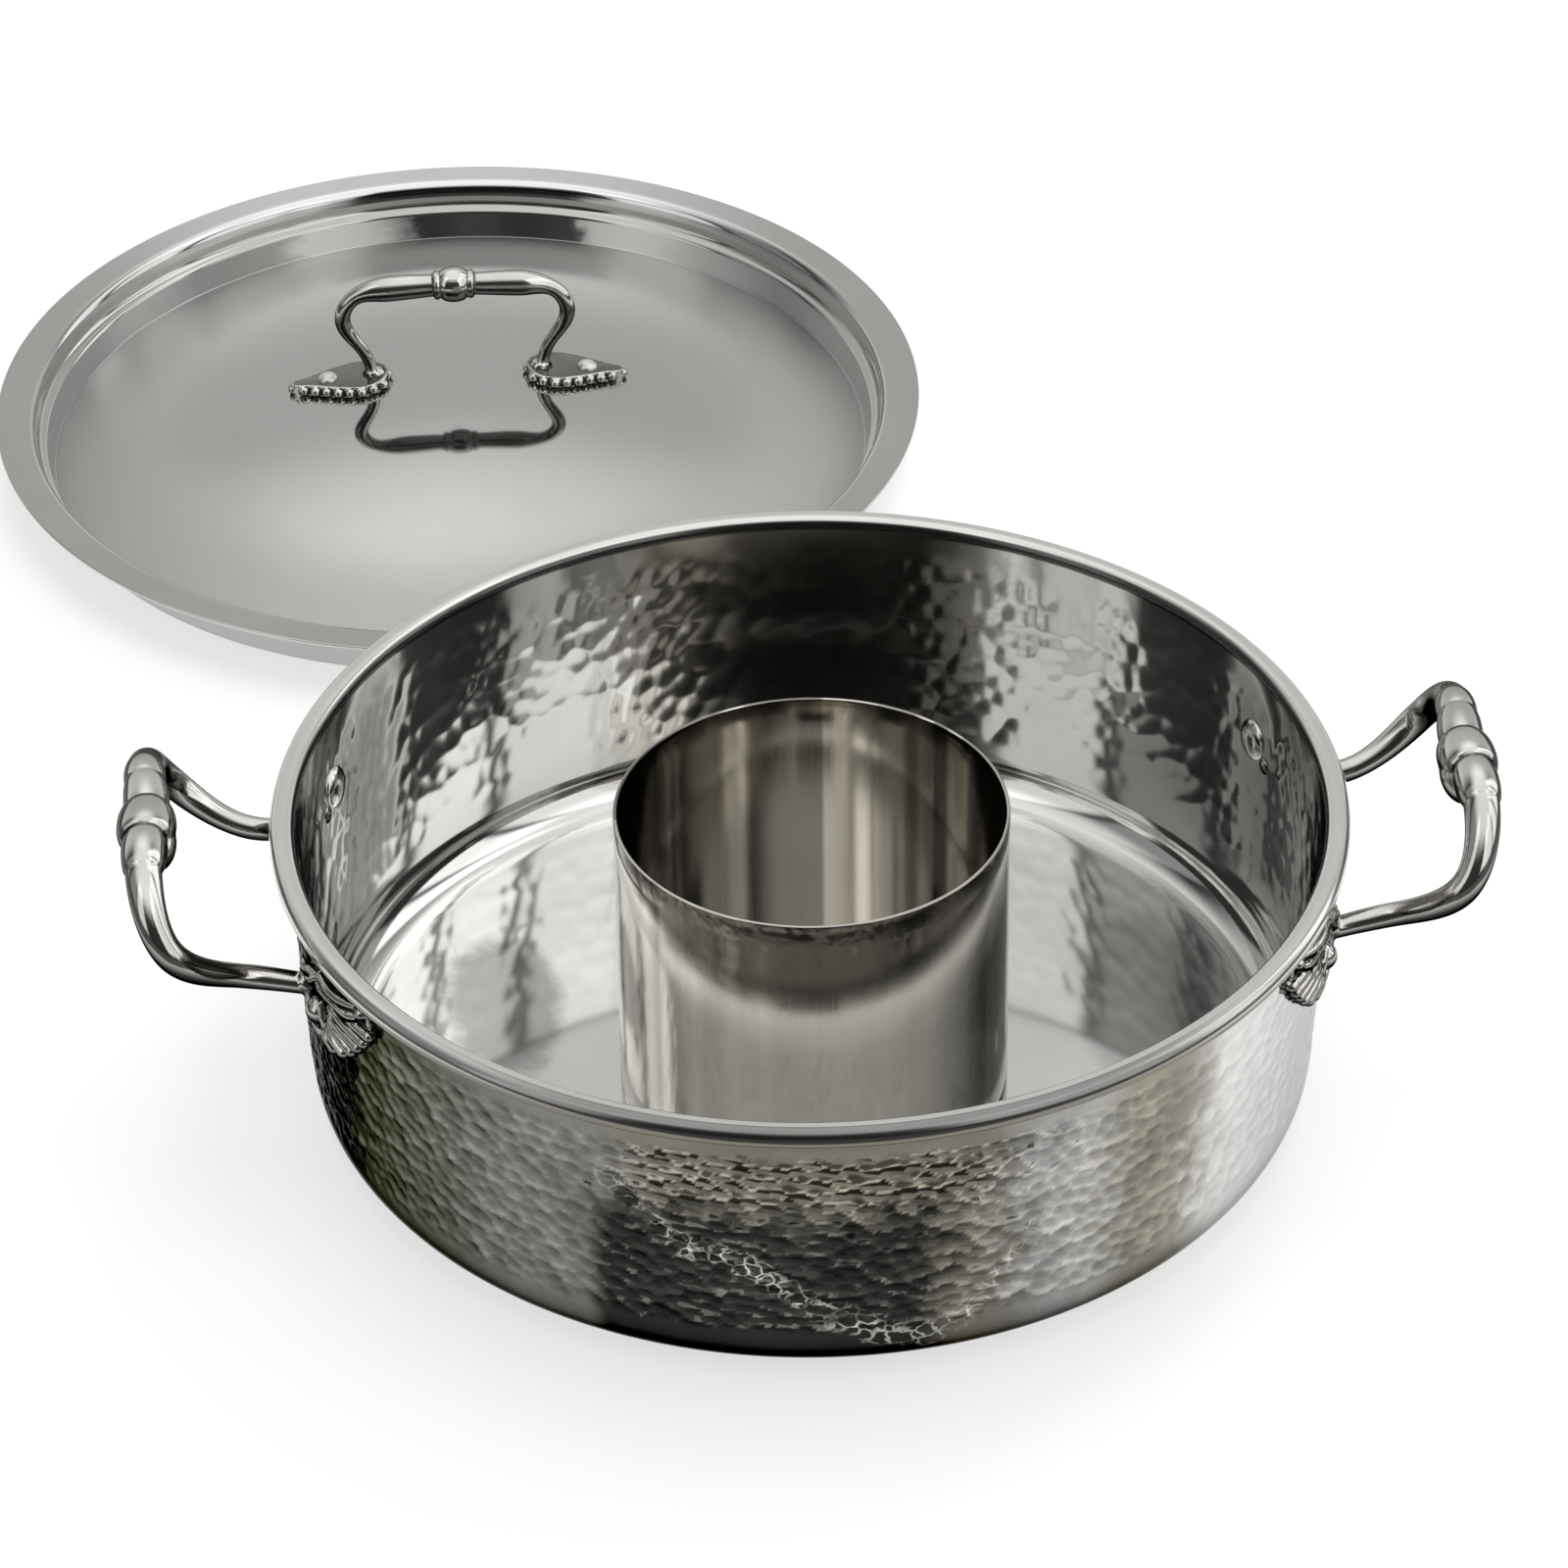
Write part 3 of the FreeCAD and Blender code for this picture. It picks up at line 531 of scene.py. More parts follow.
# The strikes of one side of the wall, and what its material asks of each point.
def hammerWall(points, angles, side):
    given = strikes[side]
    radii, heights = points[:, 0], points[:, 1]
    face = wallRadius(given["face"], heights)
    if side == "outside":
        struck = (radii > face) & (radii > wallRadius(0.2, 0) - pan["cornerRadius"])
    else:
        struck = radii < face
    sideways = np.repeat((angles * pan["mouthRadius"])[None, :], len(points), axis=0)
    upwards = np.repeat(heights[:, None], len(angles), axis=1)
    around = 2 * math.pi * pan["mouthRadius"]
    deep, tone, lip = strikeDents(sideways, upwards, around, given)
    bearings = np.degrees(np.arctan2(np.sin(angles), np.cos(angles)))
    share, *calm = given["calm"]
    weight = (band(heights, *given["heights"]) * struck)[:, None] * (1 - share * band(bearings, *calm))
    deep = np.clip(deep + slowWaves(sideways, upwards, around, *given["waves"]), *given["limits"]) * weight
    if side == "inside":
        return deep, {}
    tone = tone * weight + 0.5 * (1 - weight)
    return deep, {"dent": deep / deep.max(), "strike": tone, "lip": lip * weight}


def addPiece(name, mesh, material, body, node):
    mesh.name = name
    mesh.materials.clear()
    mesh.materials.append(material)
    piece = newObject(name, mesh)
    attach(piece, body)
    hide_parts(node)


def buildSkin():
    top = pan["height"] - pan["rimDepth"] + pan["lining"]
    inside = pan["skin"]
    cornerOut = roundedTurn(0, 10)
    cornerIn = roundedTurn(inside, 6)
    outline = line((0, 0), cornerOut[0], 5) + cornerOut
    outline += line(cornerOut[-1], (wallRadius(0, top), top), 82)[1:]
    outline += [(wallRadius(0, top), top), (wallRadius(inside, top), top)]
    outline += line((wallRadius(inside, top), top), cornerIn[-1], 3)[1:]
    outline += cornerIn[::-1] + [(0, inside)]
    mesh = turnedMesh(outline, 840, dents=lambda *given: hammerWall(*given, "outside"))
    addPiece("hammered_skin", mesh, hammeredMetal, "pan", "outer_skin")


def buildLining():
    height, foot = pan["height"], pan["height"] - pan["rimDepth"]
    back = pan["skin"] + pan["core"]
    front, hem = panThick, pan["lining"]
    roundOut = pan["rimRound"]
    roundIn = roundOut - hem
    far = pan["rimRadius"]
    slope = math.degrees(wallTaper)
    cornerBack = roundedTurn(back, 6)
    cornerFront = roundedTurn(front, 16)
    mouthBack = wallRadius(back, height - hem)
    mouthFront = wallRadius(front, height)
    outline = line((0, back), cornerBack[0], 2) + cornerBack
    outline += arc((mouthBack + roundIn, height - hem - roundIn), roundIn, 180 - slope, 90, 4)
    outline += arc((far - hem - roundIn, height - hem - roundIn), roundIn, 90, 0, 4)
    outline += arc((far - hem - roundIn, foot + hem + roundIn), roundIn, 0, -90, 4)
    outline += [(wallRadius(0, foot + hem), foot + hem), (wallRadius(0, foot), foot)]
    outline += arc((far - roundOut, foot + roundOut), roundOut, -90, 0, 7)
    land = arc((far - roundOut, height - roundOut), roundOut, 0, 90, 9)
    inner = arc((mouthFront + roundOut, height - roundOut), roundOut, 90, 180 - slope, 9)
    land += line(land[-1], inner[0], 8)[1:] + inner
    middle, half = (far + mouthFront) / 2, (far - mouthFront) / 2
    outline += [(r, z - pan["rimCrown"] * min(1.0, abs(r - middle) / half) ** 2) for r, z in land]
    outline += line(outline[-1], cornerFront[-1], 58)[1:]
    outline += cornerFront[::-1]
    outline += line(cornerFront[0], (0, front), 6)[1:] + [(0, front)]
    mesh = turnedMesh(outline, 720, dents=lambda *given: hammerWall(*given, "inside"))
    addPiece("polished_lining", mesh, liningMetal, "pan", "inner_lining")


buildSkin()
buildLining()
print("pan done")

ringSizes = {"radius": 55.0, "wall": 1.0, "proud": 1.5, "offset": 7.3, "edge": 0.3}
chimneyFinish = {
    "grain": (3500, 0.02, 0.08, 0.13, 0.05, 0.00001),
    # painted reflections: how bright the rolled sheet is at each bearing round the ring
    "outside": [(-180, 0.46), (-172, 0.70), (-150, 0.75), (-145, 0.49), (-142, 0.84), (-131, 0.86),
                (-126, 0.61), (-105, 0.59), (-90, 0.54), (-60, 0.52), (-40, 0.46), (-30, 0.34), (-12, 0.30),
                (-6, 0.57), (12, 0.36), (50, 0.70), (77, 0.80), (83, 0.26), (112, 0.26), (118, 0.60),
                (150, 0.60), (168, 0.36)],
    "inside": [(-180, 0.6), (-120, 0.9), (-90, 0.95), (-40, 0.95), (20, 0.6), (33, 0.4), (35.5, 1.0),
               (39, 1.0), (41, 0.3), (45, 0.3), (46.5, 1.0), (51, 1.0), (53, 0.36), (64, 0.42), (67.5, 0.9),
               (74, 0.86), (75.5, 1.0), (81.5, 1.0), (83, 0.40), (94, 0.38), (105, 0.42), (107.5, 1.0),
               (112, 0.92), (114.5, 0.26), (125, 0.28), (138, 0.16), (150, 0.10), (179, 0.25)],
    "wander": 2.5,  # degrees that it strays
    "steel": (0.98, 0.94, 0.875),
    "streak": (0.3, 0.28, 0.25),
}


def chimneySteel(bench):
    given, radius = chimneyFinish, ringSizes["radius"]
    streak = bench.noise(bench.place(scale=(1, 1, 0.01)), 160, 3, 0.6)
    _, _, _, bearing, reach = bench.polar(bench.place(shift=(0, ringSizes["offset"] * mm, 0)))
    bearing = bearing + streak.stray(given["wander"])
    outer = reach.ramp((radius - 0.7) * mm, (radius - 0.3) * mm)
    # painted reflections round the ring, inside and out, by bearing
    level = bench.mix(outer, *[bench.reflectionTints(bearing, given[side]) for side in ("inside", "outside")])
    colour = bench.mix(1.0, level, given["steel"], "MULTIPLY")
    return bench.mix(streak.ramp(0.35, 0.65, 0.12, 0), colour, given["streak"]), None, None


chimneyMetal = metal("brushed chimney steel", chimneySteel, chimneyFinish["grain"])


def buildRing():
    foot, top = panThick, pan["height"] + ringSizes["proud"]
    far, near, edge = ringSizes["radius"], ringSizes["radius"] - ringSizes["wall"], ringSizes["edge"]
    outline = arc((far - edge, foot + edge), edge, -90, 0, 3)
    outline += line((far, foot + edge), (far, top - edge), 12)[1:]
    outline += arc((far - edge, top - edge), edge, 0, 90, 3)
    outline += arc((near + edge, top - edge), edge, 90, 180, 3)
    outline += line((near, top - edge), (near, foot + edge), 12)[1:]
    outline += arc((near + edge, foot + edge), edge, 180, 270, 3)
    mesh = turnedMesh(outline, 256, centre=(0, -ringSizes["offset"]))
    addPiece("chimney_tube", mesh, chimneyMetal, "chimney", "chimney_ring")


buildRing()
print("chimney ring done")

lid = {
    "overhang": 1.1,
    "play": 2.8,
    "thick": 1.2,
    "flangeHeight": 19.2,
    "upperSlope": 1.0,
    "ledgeStep": 3.0,
    "lowerSlope": 1.7,
    "ledgeHeight": 10.2,
    "crownHeight": 26.3,
    "gap": 50.4,  # between the rims of pan and lid
    "bearing": 14.7,  # degrees to the left of straight behind
    # how round each corner is, along the underside and back along the top
    "rounds": [0.5, 0.6, 0.6, 1.6, 0.45, 0.45, 3.6, 2.4, 1.2],
}
lidRadius = pan["rimRadius"] + lid["overhang"]
lidAway = lidRadius + pan["rimRadius"] + lid["gap"]
lidBearing = math.radians(lid["bearing"])
lidCentre = (-lidAway * math.sin(lidBearing), lidAway * math.cos(lidBearing))
flangeInner = wallRadius(panThick, pan["height"]) - lid["play"] - lid["thick"]
ledgeOuter = flangeInner - lid["upperSlope"]
ledgeInner = ledgeOuter - lid["ledgeStep"]
panelRadius = ledgeInner - lid["lowerSlope"]
lidDrop = lid["crownHeight"] - lid["thick"]
lidDomeRadius = (panelRadius ** 2 + lidDrop ** 2) / (2 * lidDrop)

lidFinish = {
    "grain": (4500, 1, 0.05, 0.09, 0.04, 0.00003),
    "panel": ((0.51, 0.51, 0.495), (0.55, 0.55, 0.54)),
    # painted reflections on the two walls round the panel: from and to in mm up, and how bright at each
    # bearing round the lid
    "walls": [
        (1.4, 9.6, [(-180, 0.55), (34, 0.55), (50, 0.85), (58, 1.0), (68.5, 1.0), (70.5, 0.12), (80, 0.08),
                    (86, 0.14), (94, 0.07), (96.5, 0.50), (100, 0.95), (111, 0.95), (116, 0.50), (130, 0.40),
                    (140, 0.6), (179, 0.55)]),
        (14.6, 17.6, [(-180, 0.55), (40, 0.55), (58, 0.85), (68, 0.8), (73, 0.12), (102, 0.08), (110, 0.7),
                      (124, 0.8), (140, 0.55), (179, 0.55)]),
    ],
    "wander": 9.0,  # degrees that they stray
    "fade": 0.3,  # mm
    "flange": (17.6, 18.4),  # mm up, where the flange begins
    # painted highlight on the far flange
    "farFlange": (0.86,) * 3,
    "far": (30, 80, 110, 150),
    "satin": (0.075, 0.115),  # the panel turns satin between these distances from its middle
    "satinRough": 0.42,
}


def lidSteel(bench):
    given, fade = lidFinish, lidFinish["fade"]
    colour = bench.mix(bench.noise(bench.place(), 9, 3, 0.5).ramp(0.3, 0.7), *given["panel"])
    _, _, z, bearing, reach = bench.polar(bench.place(shift=(-lidCentre[0] * mm, -lidCentre[1] * mm, 0)))
    # painted highlight on the far flange
    low, high = given["flange"]
    far = bearing.between(*given["far"]) * z.ramp(low * mm, high * mm)
    far = far * reach.ramp((ledgeOuter - 1) * mm, ledgeOuter * mm)
    colour = bench.mix(far, colour, given["farFlange"])
    bearing = bearing + bench.noise(bench.place(scale=(1, 1, 2.5)), 75, 3, 0.6).stray(given["wander"])
    inside = reach.ramp((panelRadius - 0.2) * mm, panelRadius * mm)
    # painted reflections on the two walls round the panel, by bearing
    for low, high, bright in given["walls"]:
        part = z.between(*[v * mm for v in (low - fade, low + fade, high - fade, high + fade)])
        colour = bench.mix(part * inside, colour, bench.reflectionTints(bearing, bright))
    satin = reach.between(*given["satin"], (panelRadius - 1) * mm, panelRadius * mm)
    return colour, satin * given["satinRough"], None


lidMetal = metal("satin lid steel", lidSteel, lidFinish["grain"])


# The outline with each corner turned into a small curve.
def softened(corners, radii, steps):
    result = []
    for i, radius in enumerate(radii):
        here, before, after = [np.array(corners[k % len(corners)], float) for k in (i, i - 1, i + 1)]
        before, after = before - here, after - here
        reach = min(radius, 0.48 * np.linalg.norm(before), 0.48 * np.linalg.norm(after))
        first, last = [here + way / np.linalg.norm(way) * reach for way in (before, after)]
        for t in [k / steps for k in range(steps + 1)]:
            result.append(tuple(first * (1 - t) ** 2 + here * 2 * t * (1 - t) + last * t ** 2))
    return result


# The line with a point close to each end of every long stretch, which keeps the flats flat.
def supported(points, gap, longest):
    result = [points[0]]
    for first, last in zip(np.array(points), np.array(points[1:])):
        step = last - first
        length = np.linalg.norm(step)
        if length > longest:
            result += [tuple(first + step * gap / length), tuple(last - step * gap / length)]
        result.append(tuple(last))
    return result


# The height of the panel's top, off its middle.
def domeHeight(x, y=0.0):
    return lid["crownHeight"] - lidDomeRadius + math.sqrt(lidDomeRadius ** 2 - x * x - y * y)


def buildLid():
    thick, flange, ledge = lid["thick"], lid["flangeHeight"], lid["ledgeHeight"]
    under, over = [[(r, domeHeight(r) - down) for r in np.linspace(0, panelRadius, steps + 1)]
                   for down, steps in ((thick, 16), (0, 36))]
    corners = [
        (panelRadius + thick, 0), (ledgeInner + thick, ledge - thick), (ledgeOuter + thick, ledge),
        (flangeInner + thick, flange - thick), (lidRadius, flange - thick), (lidRadius, flange),
        (flangeInner, flange), (ledgeOuter, ledge + thick), (ledgeInner, ledge),
    ]
    wall = supported(softened(corners, lid["rounds"], 5) + [over[-1], over[-2]], 0.25, 1.2)
    mesh = turnedMesh(under + wall + over[-3::-1], 384, centre=lidCentre)
    addPiece("lid_disc", mesh, lidMetal, "lid", "lid_pan")


buildLid()
print("lid done")


# A geometry tree with a whole number and a material to set. build(bench, given) makes its shape, and
# Realize Instances and Set Material end it.
def makeTree(name, title, default, build):
    tree = bpy.data.node_groups.new(name, "GeometryNodeTree")
    for label, way, kind in (("Geometry", "INPUT", "Geometry"), (title, "INPUT", "Int"),
                             ("Material", "INPUT", "Material"), ("Geometry", "OUTPUT", "Geometry")):
        socket = tree.interface.new_socket(label, in_out=way, socket_type="NodeSocket" + kind)
        if kind == "Int":
            socket.default_value = default
    bench = NodeBench(tree)
    given = bench.add("NodeGroupInput").outputs
    real = bench.add("GeometryNodeRealizeInstances", {0: build(bench, given)})
    paint = bench.add("GeometryNodeSetMaterial", {"Geometry": real, "Material": given["Material"]})
    bench.add("NodeGroupOutput", {0: paint})
    return tree


# Round bars along every spline, as thick as each point's radius.
def barNodes(bench, given):
    ring = bench.add("GeometryNodeCurvePrimitiveCircle", {"Radius": 1.0, "Resolution": given["Sides"]})
    sweep = bench.add("GeometryNodeCurveToMesh", {
        "Fill Caps": True, "Curve": given["Geometry"], "Profile Curve": ring})
    if "Scale" in sweep.inputs:
        bench.feed(sweep.inputs["Scale"], bench.add("GeometryNodeInputRadius"))
    return sweep


# A ball on every point, stretched by the point's attribute size and turned to its attribute out.
def ballNodes(bench, given):
    ball = bench.add("GeometryNodeMeshIcoSphere", {"Radius": 1.0, "Subdivisions": given["Detail"]})
    points = bench.add("GeometryNodeMeshToPoints", {0: given["Geometry"]})
    size, out = [bench.add("GeometryNodeInputNamedAttribute", {"Name": title}, data_type="FLOAT_VECTOR")
                 for title in ("size", "out")]
    turn = bench.add("FunctionNodeAlignRotationToVector", {"Vector": out}, axis="Z")
    return bench.add("GeometryNodeInstanceOnPoints", {
        "Points": points, "Instance": ball, "Rotation": turn, "Scale": size})


barTree = makeTree("bars along paths", "Sides", 24, barNodes)
ballTree = makeTree("balls on points", "Detail", 4, ballNodes)

castFinish = {
    "grain": (2500, 1, 0.08, 0.16, 0.08, 0.00004),
    "steel": ((0.62, 0.605, 0.575), (0.76, 0.75, 0.725)),
    "under": (-0.25, 0.55, 0.045),  # painted shade: faces that look down are this dark
    # painted shade in the creases
    "crease": (0.05, 0.5, 0.14),
    "lidFrom": (0.18, 0.20),  # m behind the middle, where the lid's handle begins
    "lidUnder": 0.21,  # painted light: brighter underneath, where the lid mirrors it
    "padTop": (0.0300, 0.0335),  # m up, the top of the lid handle's pads
    "padFlat": 0.42,  # painted shade: how bright their flat is, and their sides
    "padSide": 0.2,
    # painted shade in the pads' creases
    "padCrease": (0.05, 0.4, 0.10),
    "glancing": (0.12,) * 3,
}
rivetFinish = {
    "grain": (2500, 1, 0.08, 0.16, 0.06, 0.00003),
    "steel": ((0.70, 0.69, 0.665), (0.80, 0.795, 0.775)),
    "lidTop": (0.035, 0.050),  # m up, the lid's rivets are below this, and matt
    "matt": 0.28,
}


# Painted shade underneath, in the creases and on the pads, and painted light under the lid's handle, where the
# lid mirrors it.
def castSteel(bench):
    given = castFinish
    here = bench.place()
    _, y, z = bench.split(here)
    upward, crease = bench.attribute("upward"), bench.attribute("crease")
    colour = bench.mix(bench.noise(here, 60, 3, 0.5).ramp(0.3, 0.7), *given["steel"])
    # painted shade underneath and in the creases
    low, high, level = given["crease"]
    paintedShading = upward.ramp(*given["under"], 1.0) * crease.ramp(low, high, 1.0, level)
    # painted light under the lid's handle, where the lid mirrors it
    paintedShading = paintedShading.math("MAXIMUM", y.ramp(*given["lidFrom"], 0, given["lidUnder"]))
    # painted shade on the pads' sides, flats and creases
    low, high, level = given["padCrease"]
    pad = upward.ramp(-0.7, 0.1, given["padSide"], 1) * crease.ramp(low, high, 1.0, level)
    pad = upward.ramp(0.90, 0.97, 1, given["padFlat"]) * pad
    share = z.ramp(*given["padTop"], 1, 0)
    paintedShading = paintedShading * (1.0 - share) + pad * share
    return bench.mix(1.0, colour, bench.grey(paintedShading), "MULTIPLY"), None, given["glancing"]


def rivetSteel(bench):
    given = rivetFinish
    here = bench.place()
    colour = bench.mix(bench.noise(here, 90, 3, 0.5).ramp(0.3, 0.7), *given["steel"])
    return colour, bench.split(here)[2].ramp(*given["lidTop"], given["matt"], 0), None


castMetal = metal("cast handle steel", castSteel, castFinish["grain"])
rivetMetal = metal("domed rivet steel", rivetSteel, rivetFinish["grain"])


# The plain mesh of an object with its modifiers, which are cleared.
def applied(holder):
    bpy.context.view_layer.update()
    mesh = bpy.data.meshes.new_from_object(holder.evaluated_get(bpy.context.evaluated_depsgraph_get()))
    holder.modifiers.clear()
    bpy.data.objects.remove(holder)
    return mesh


# The mesh that a tree makes from a curve or mesh datablock.
def grown(data, tree, values):
    holder = newObject("holder", data)
    modifier = holder.modifiers.new("tree", "NODES")
    modifier.node_group = tree
    for item in tree.interface.items_tree:
        if item.item_type == "SOCKET" and item.in_out == "INPUT" and item.name in values:
            modifier[item.identifier] = values[item.name]
    return applied(holder)


# Mesh of bars; each path is (points, radii) in millimetres.
def bars(paths, sides):
    curve = bpy.data.curves.new("paths", "CURVE")
    curve.dimensions = "3D"
    for points, radii in paths:
        spline = curve.splines.new("POLY")
        spline.points.add(len(points) - 1)
        for spot, (x, y, z), radius in zip(spline.points, points, radii):
            spot.co = (x * mm, y * mm, z * mm, 1)
            spot.radius = radius * mm
    return grown(curve, barTree, {"Sides": sides, "Material": castMetal})


# Mesh of balls; each spot is (place, (wide, wide, high), outward) in millimetres.
def balls(spots, detail=4, material=castMetal):
    places, sizes, outs = zip(*spots)
    mesh = meshOf(places)
    for name, values in (("size", np.array(sizes, float) * mm), ("out", np.array(outs, float))):
        mesh.attributes.new(name, "FLOAT_VECTOR", "POINT").data.foreach_set("vector", values.ravel())
    return grown(mesh, ballTree, {"Detail": detail, "Material": material})


# One mesh of several.
def merged(meshes):
    bm = bmesh.new()
    for mesh in meshes:
        bm.from_mesh(mesh)
    result = bpy.data.meshes.new("merged")
    bm.to_mesh(result)
    bm.free()
    return result


# Marks each point of a casting for its painted shade: "upward" from -1 (faces down) to 1, and "crease" from 0
# to 1.
def markShadeInputs(mesh):
    count = len(mesh.vertices)
    spots, normals = np.empty(count * 3), np.empty(count * 3)
    ends = np.empty(len(mesh.edges) * 2, np.int32)
    mesh.vertices.foreach_get("co", spots)
    mesh.vertex_normals.foreach_get("vector", normals)
    mesh.edges.foreach_get("vertices", ends)
    spots, normals = spots.reshape(-1, 3), normals.reshape(-1, 3)
    one, other = ends.reshape(-1, 2).T
    degree = np.bincount(ends, minlength=count)[:, None]
    flat = spots.copy()
    crease = np.zeros(count)
    for turn in range(14):
        near = [np.bincount(one, flat[other, k], count) + np.bincount(other, flat[one, k], count)
                for k in range(3)]
        flat = 0.3 * flat + 0.7 * np.stack(near, axis=1) / degree
        if turn in (4, 13):
            crease = np.maximum(crease, ((flat - spots) * normals).sum(axis=1) / (0.3 * mm))
    mark(mesh, "upward", normals[:, 2])
    mark(mesh, "crease", np.clip(crease, 0, 1))


# One closed skin over overlapping shapes, softened as a casting is.
def castTogether(meshes, given):
    holder = newObject("holder", merged(meshes))
    remesh = holder.modifiers.new("skin", "REMESH")
    remesh.mode = "VOXEL"
    remesh.voxel_size = given["voxel"] * mm
    smooth = holder.modifiers.new("soften", "SMOOTH")
    smooth.factor = 0.5
    smooth.iterations = given["smoothing"]
    mesh = applied(holder)
    mesh.shade_smooth()
    markShadeInputs(mesh)
    return mesh


# A natural cubic line through the points by chord length, with eased radii: (points, radii, lengths).
def smoothPath(points, radii, steps):
    p, r = np.array(points, float), np.array(radii, float)
    t = np.concatenate([[0], np.cumsum(np.linalg.norm(np.diff(p, axis=0), axis=1))])
    n = len(p)
    h = np.diff(t)
    a, b = np.eye(n), np.zeros((n, 3))
    for i in range(1, n - 1):
        a[i, i - 1], a[i, i], a[i, i + 1] = h[i - 1], 2 * (h[i - 1] + h[i]), h[i]
        b[i] = 6 * ((p[i + 1] - p[i]) / h[i] - (p[i] - p[i - 1]) / h[i - 1])
    curve = np.linalg.solve(a, b)
    at = np.linspace(0, t[-1], steps + 1)
    leg = np.clip(np.searchsorted(t, at, side="right") - 1, 0, n - 2)
    left, right = at - t[leg], t[leg + 1] - at
    gap = h[leg][:, None]
    spots = (curve[leg] * right[:, None] ** 3 + curve[leg + 1] * left[:, None] ** 3) / (6 * gap)
    spots += (p[leg] / gap - curve[leg] * gap / 6) * right[:, None]
    spots += (p[leg + 1] / gap - curve[leg + 1] * gap / 6) * left[:, None]
    share = left / h[leg]
    thick = r[leg] + (r[leg + 1] - r[leg]) * (share * share * (3 - 2 * share))
    lengths = np.concatenate([[0], np.cumsum(np.linalg.norm(np.diff(spots, axis=0), axis=1))])
    return spots, thick, lengths


# Swells a bar round a place along it, from the radius foot to the radius top.
def swell(thick, along, middle, half, foot, top, keep=1.0):
    inside = np.abs(along - middle) < half
    share = (along[inside] - middle) / half
    thick[inside] = foot + (top - foot) * np.sqrt(1 - keep * share ** 2)


handle = {
    "gripOut": 37.5, "gripRise": 4.9, "gripHalf": 24.0, "gripBow": 0.8,
    "bendOut": 32.3, "bendSpread": 41.0, "bendDrop": 11.6,
    "armOut": 12.5, "armSpread": 35.5, "armDrop": 24.5,
    "rootSpread": 38.9, "rootDrop": 24.5, "rootBelow": 2.8, "rootSunk": 1.2,
    "bulbAt": -4.7, "bulbHalf": 7.5, "bulbRadius": 8.3, "bulbFoot": 6.2, "bulbEnds": 0.97,
    # each cuff: from, to, radius at each end; along the bar from its middle, front side negative
    "cuffs": [(-25.0, -12.2, 5.75, 6.35), (2.8, 14.8, 6.4, 6.05), (14.8, 24.5, 5.9, 5.35)],
    "cuffLip": 0.35, "cuffBelly": 0.2,
    "bellyAt": -9.0, "bellyIn": 2.2, "bellyDown": 2.0, "belly": (5.9, 5.9, 11.0), "bellyOut": (0, 1, 0.05),
    "radii": [3.0, 3.4, 4.35, 5.1],  # root, arm, bend and grip
    "voxel": 0.42, "smoothing": 2,
}
# The leaf foot, unrolled: along the wall towards the front, and up from the arm's root. The third
# number of a scroll's points and the lifts are mm off the wall.
leaf = {
    "edge": [(2, 8), (10, 13.5), (22, 15.5), (34, 16.5), (41, 14), (43, 8), (38.5, 2.5), (34, -1.5),
             (29.5, -5.5), (24, -9.5), (17, -12.5), (9, -13), (4, -10), (1, -4), (-2, 2)],
    "grid": 0.55, "thick": 1.3, "sunk": 1.3, "edgeRound": 2.2,
    "domed": (0.75, 7),  # how thick it is by its edge, and from how far in it is full
    "ribTips": [(41.6, 8.6), (38.2, 4.2), (34.4, 0.2), (30.0, -4.0), (24.6, -8.0), (18.0, -11.0)],
    "ribStarts": [(18, 7.5), (12.5, -8.0)],
    "ribRadius": 1.75, "ribStart": 0.55, "ribTip": 1.06, "ribLifts": (0.7, 2.1, 1.4), "ribBend": 1.2,
    "scrolls": [
        [(-1, 3, 2.0), (6, 8.5, 2.8), (13, 10.5, 2.2), (19, 10.6, 3.0), (26, 9.6, 2.2), (33, 11, 2.6),
         (39, 13.5, 1.8)],
        [(-1, 6, 1.8), (5, 6.5, 2.4), (11, 8.0, 3.2), (16, 12.2, 2.2), (22, 12.8, 2.6), (29, 13.2, 2.2),
         (36, 15.0, 1.4)],
        [(1, -1, 2.0), (0.6, -5, 1.8), (3.5, -9.8, 1.8), (8.5, -11.2, 1.8), (13.6, -9.4, 1.8),
         (14.2, -4, 2.0), (11.5, 0.8, 2.2)],
    ],
    "scrollRadii": (1.2, 1.5, 1.0),  # start, middle, end
    # each knot: place, radius along the wall, height off it
    "knots": [((8.2, -4.6), 4.3, 4.4), ((30.5, 9.2), 2.3, 3.2), ((22, 11.6), 2.0, 2.8),
              ((38.4, 14.2), 1.9, 2.4), ((15, 11.4), 2.1, 2.9), ((-1.5, -1.5), 3.4, 4.0)],
    "knotLift": 0.8,
}


# A place beside the arm's root: along the wall, above the root, off the wall's outside.
def onWall(along, rise, lift):
    angle = (handle["rootSpread"] + along) / pan["mouthRadius"]
    height = pan["height"] - handle["rootDrop"] + rise
    out = (math.cos(wallTaper) * math.cos(angle), math.cos(wallTaper) * math.sin(angle), -math.sin(wallTaper))
    radius = wallRadius(0, height)
    spot = (radius * math.cos(angle), radius * math.sin(angle), height)
    return tuple(s + o * lift for s, o in zip(spot, out))


def outwardAt(along):
    angle = (handle["rootSpread"] + along) / pan["mouthRadius"]
    return (math.cos(angle), math.sin(angle), -math.sin(wallTaper))


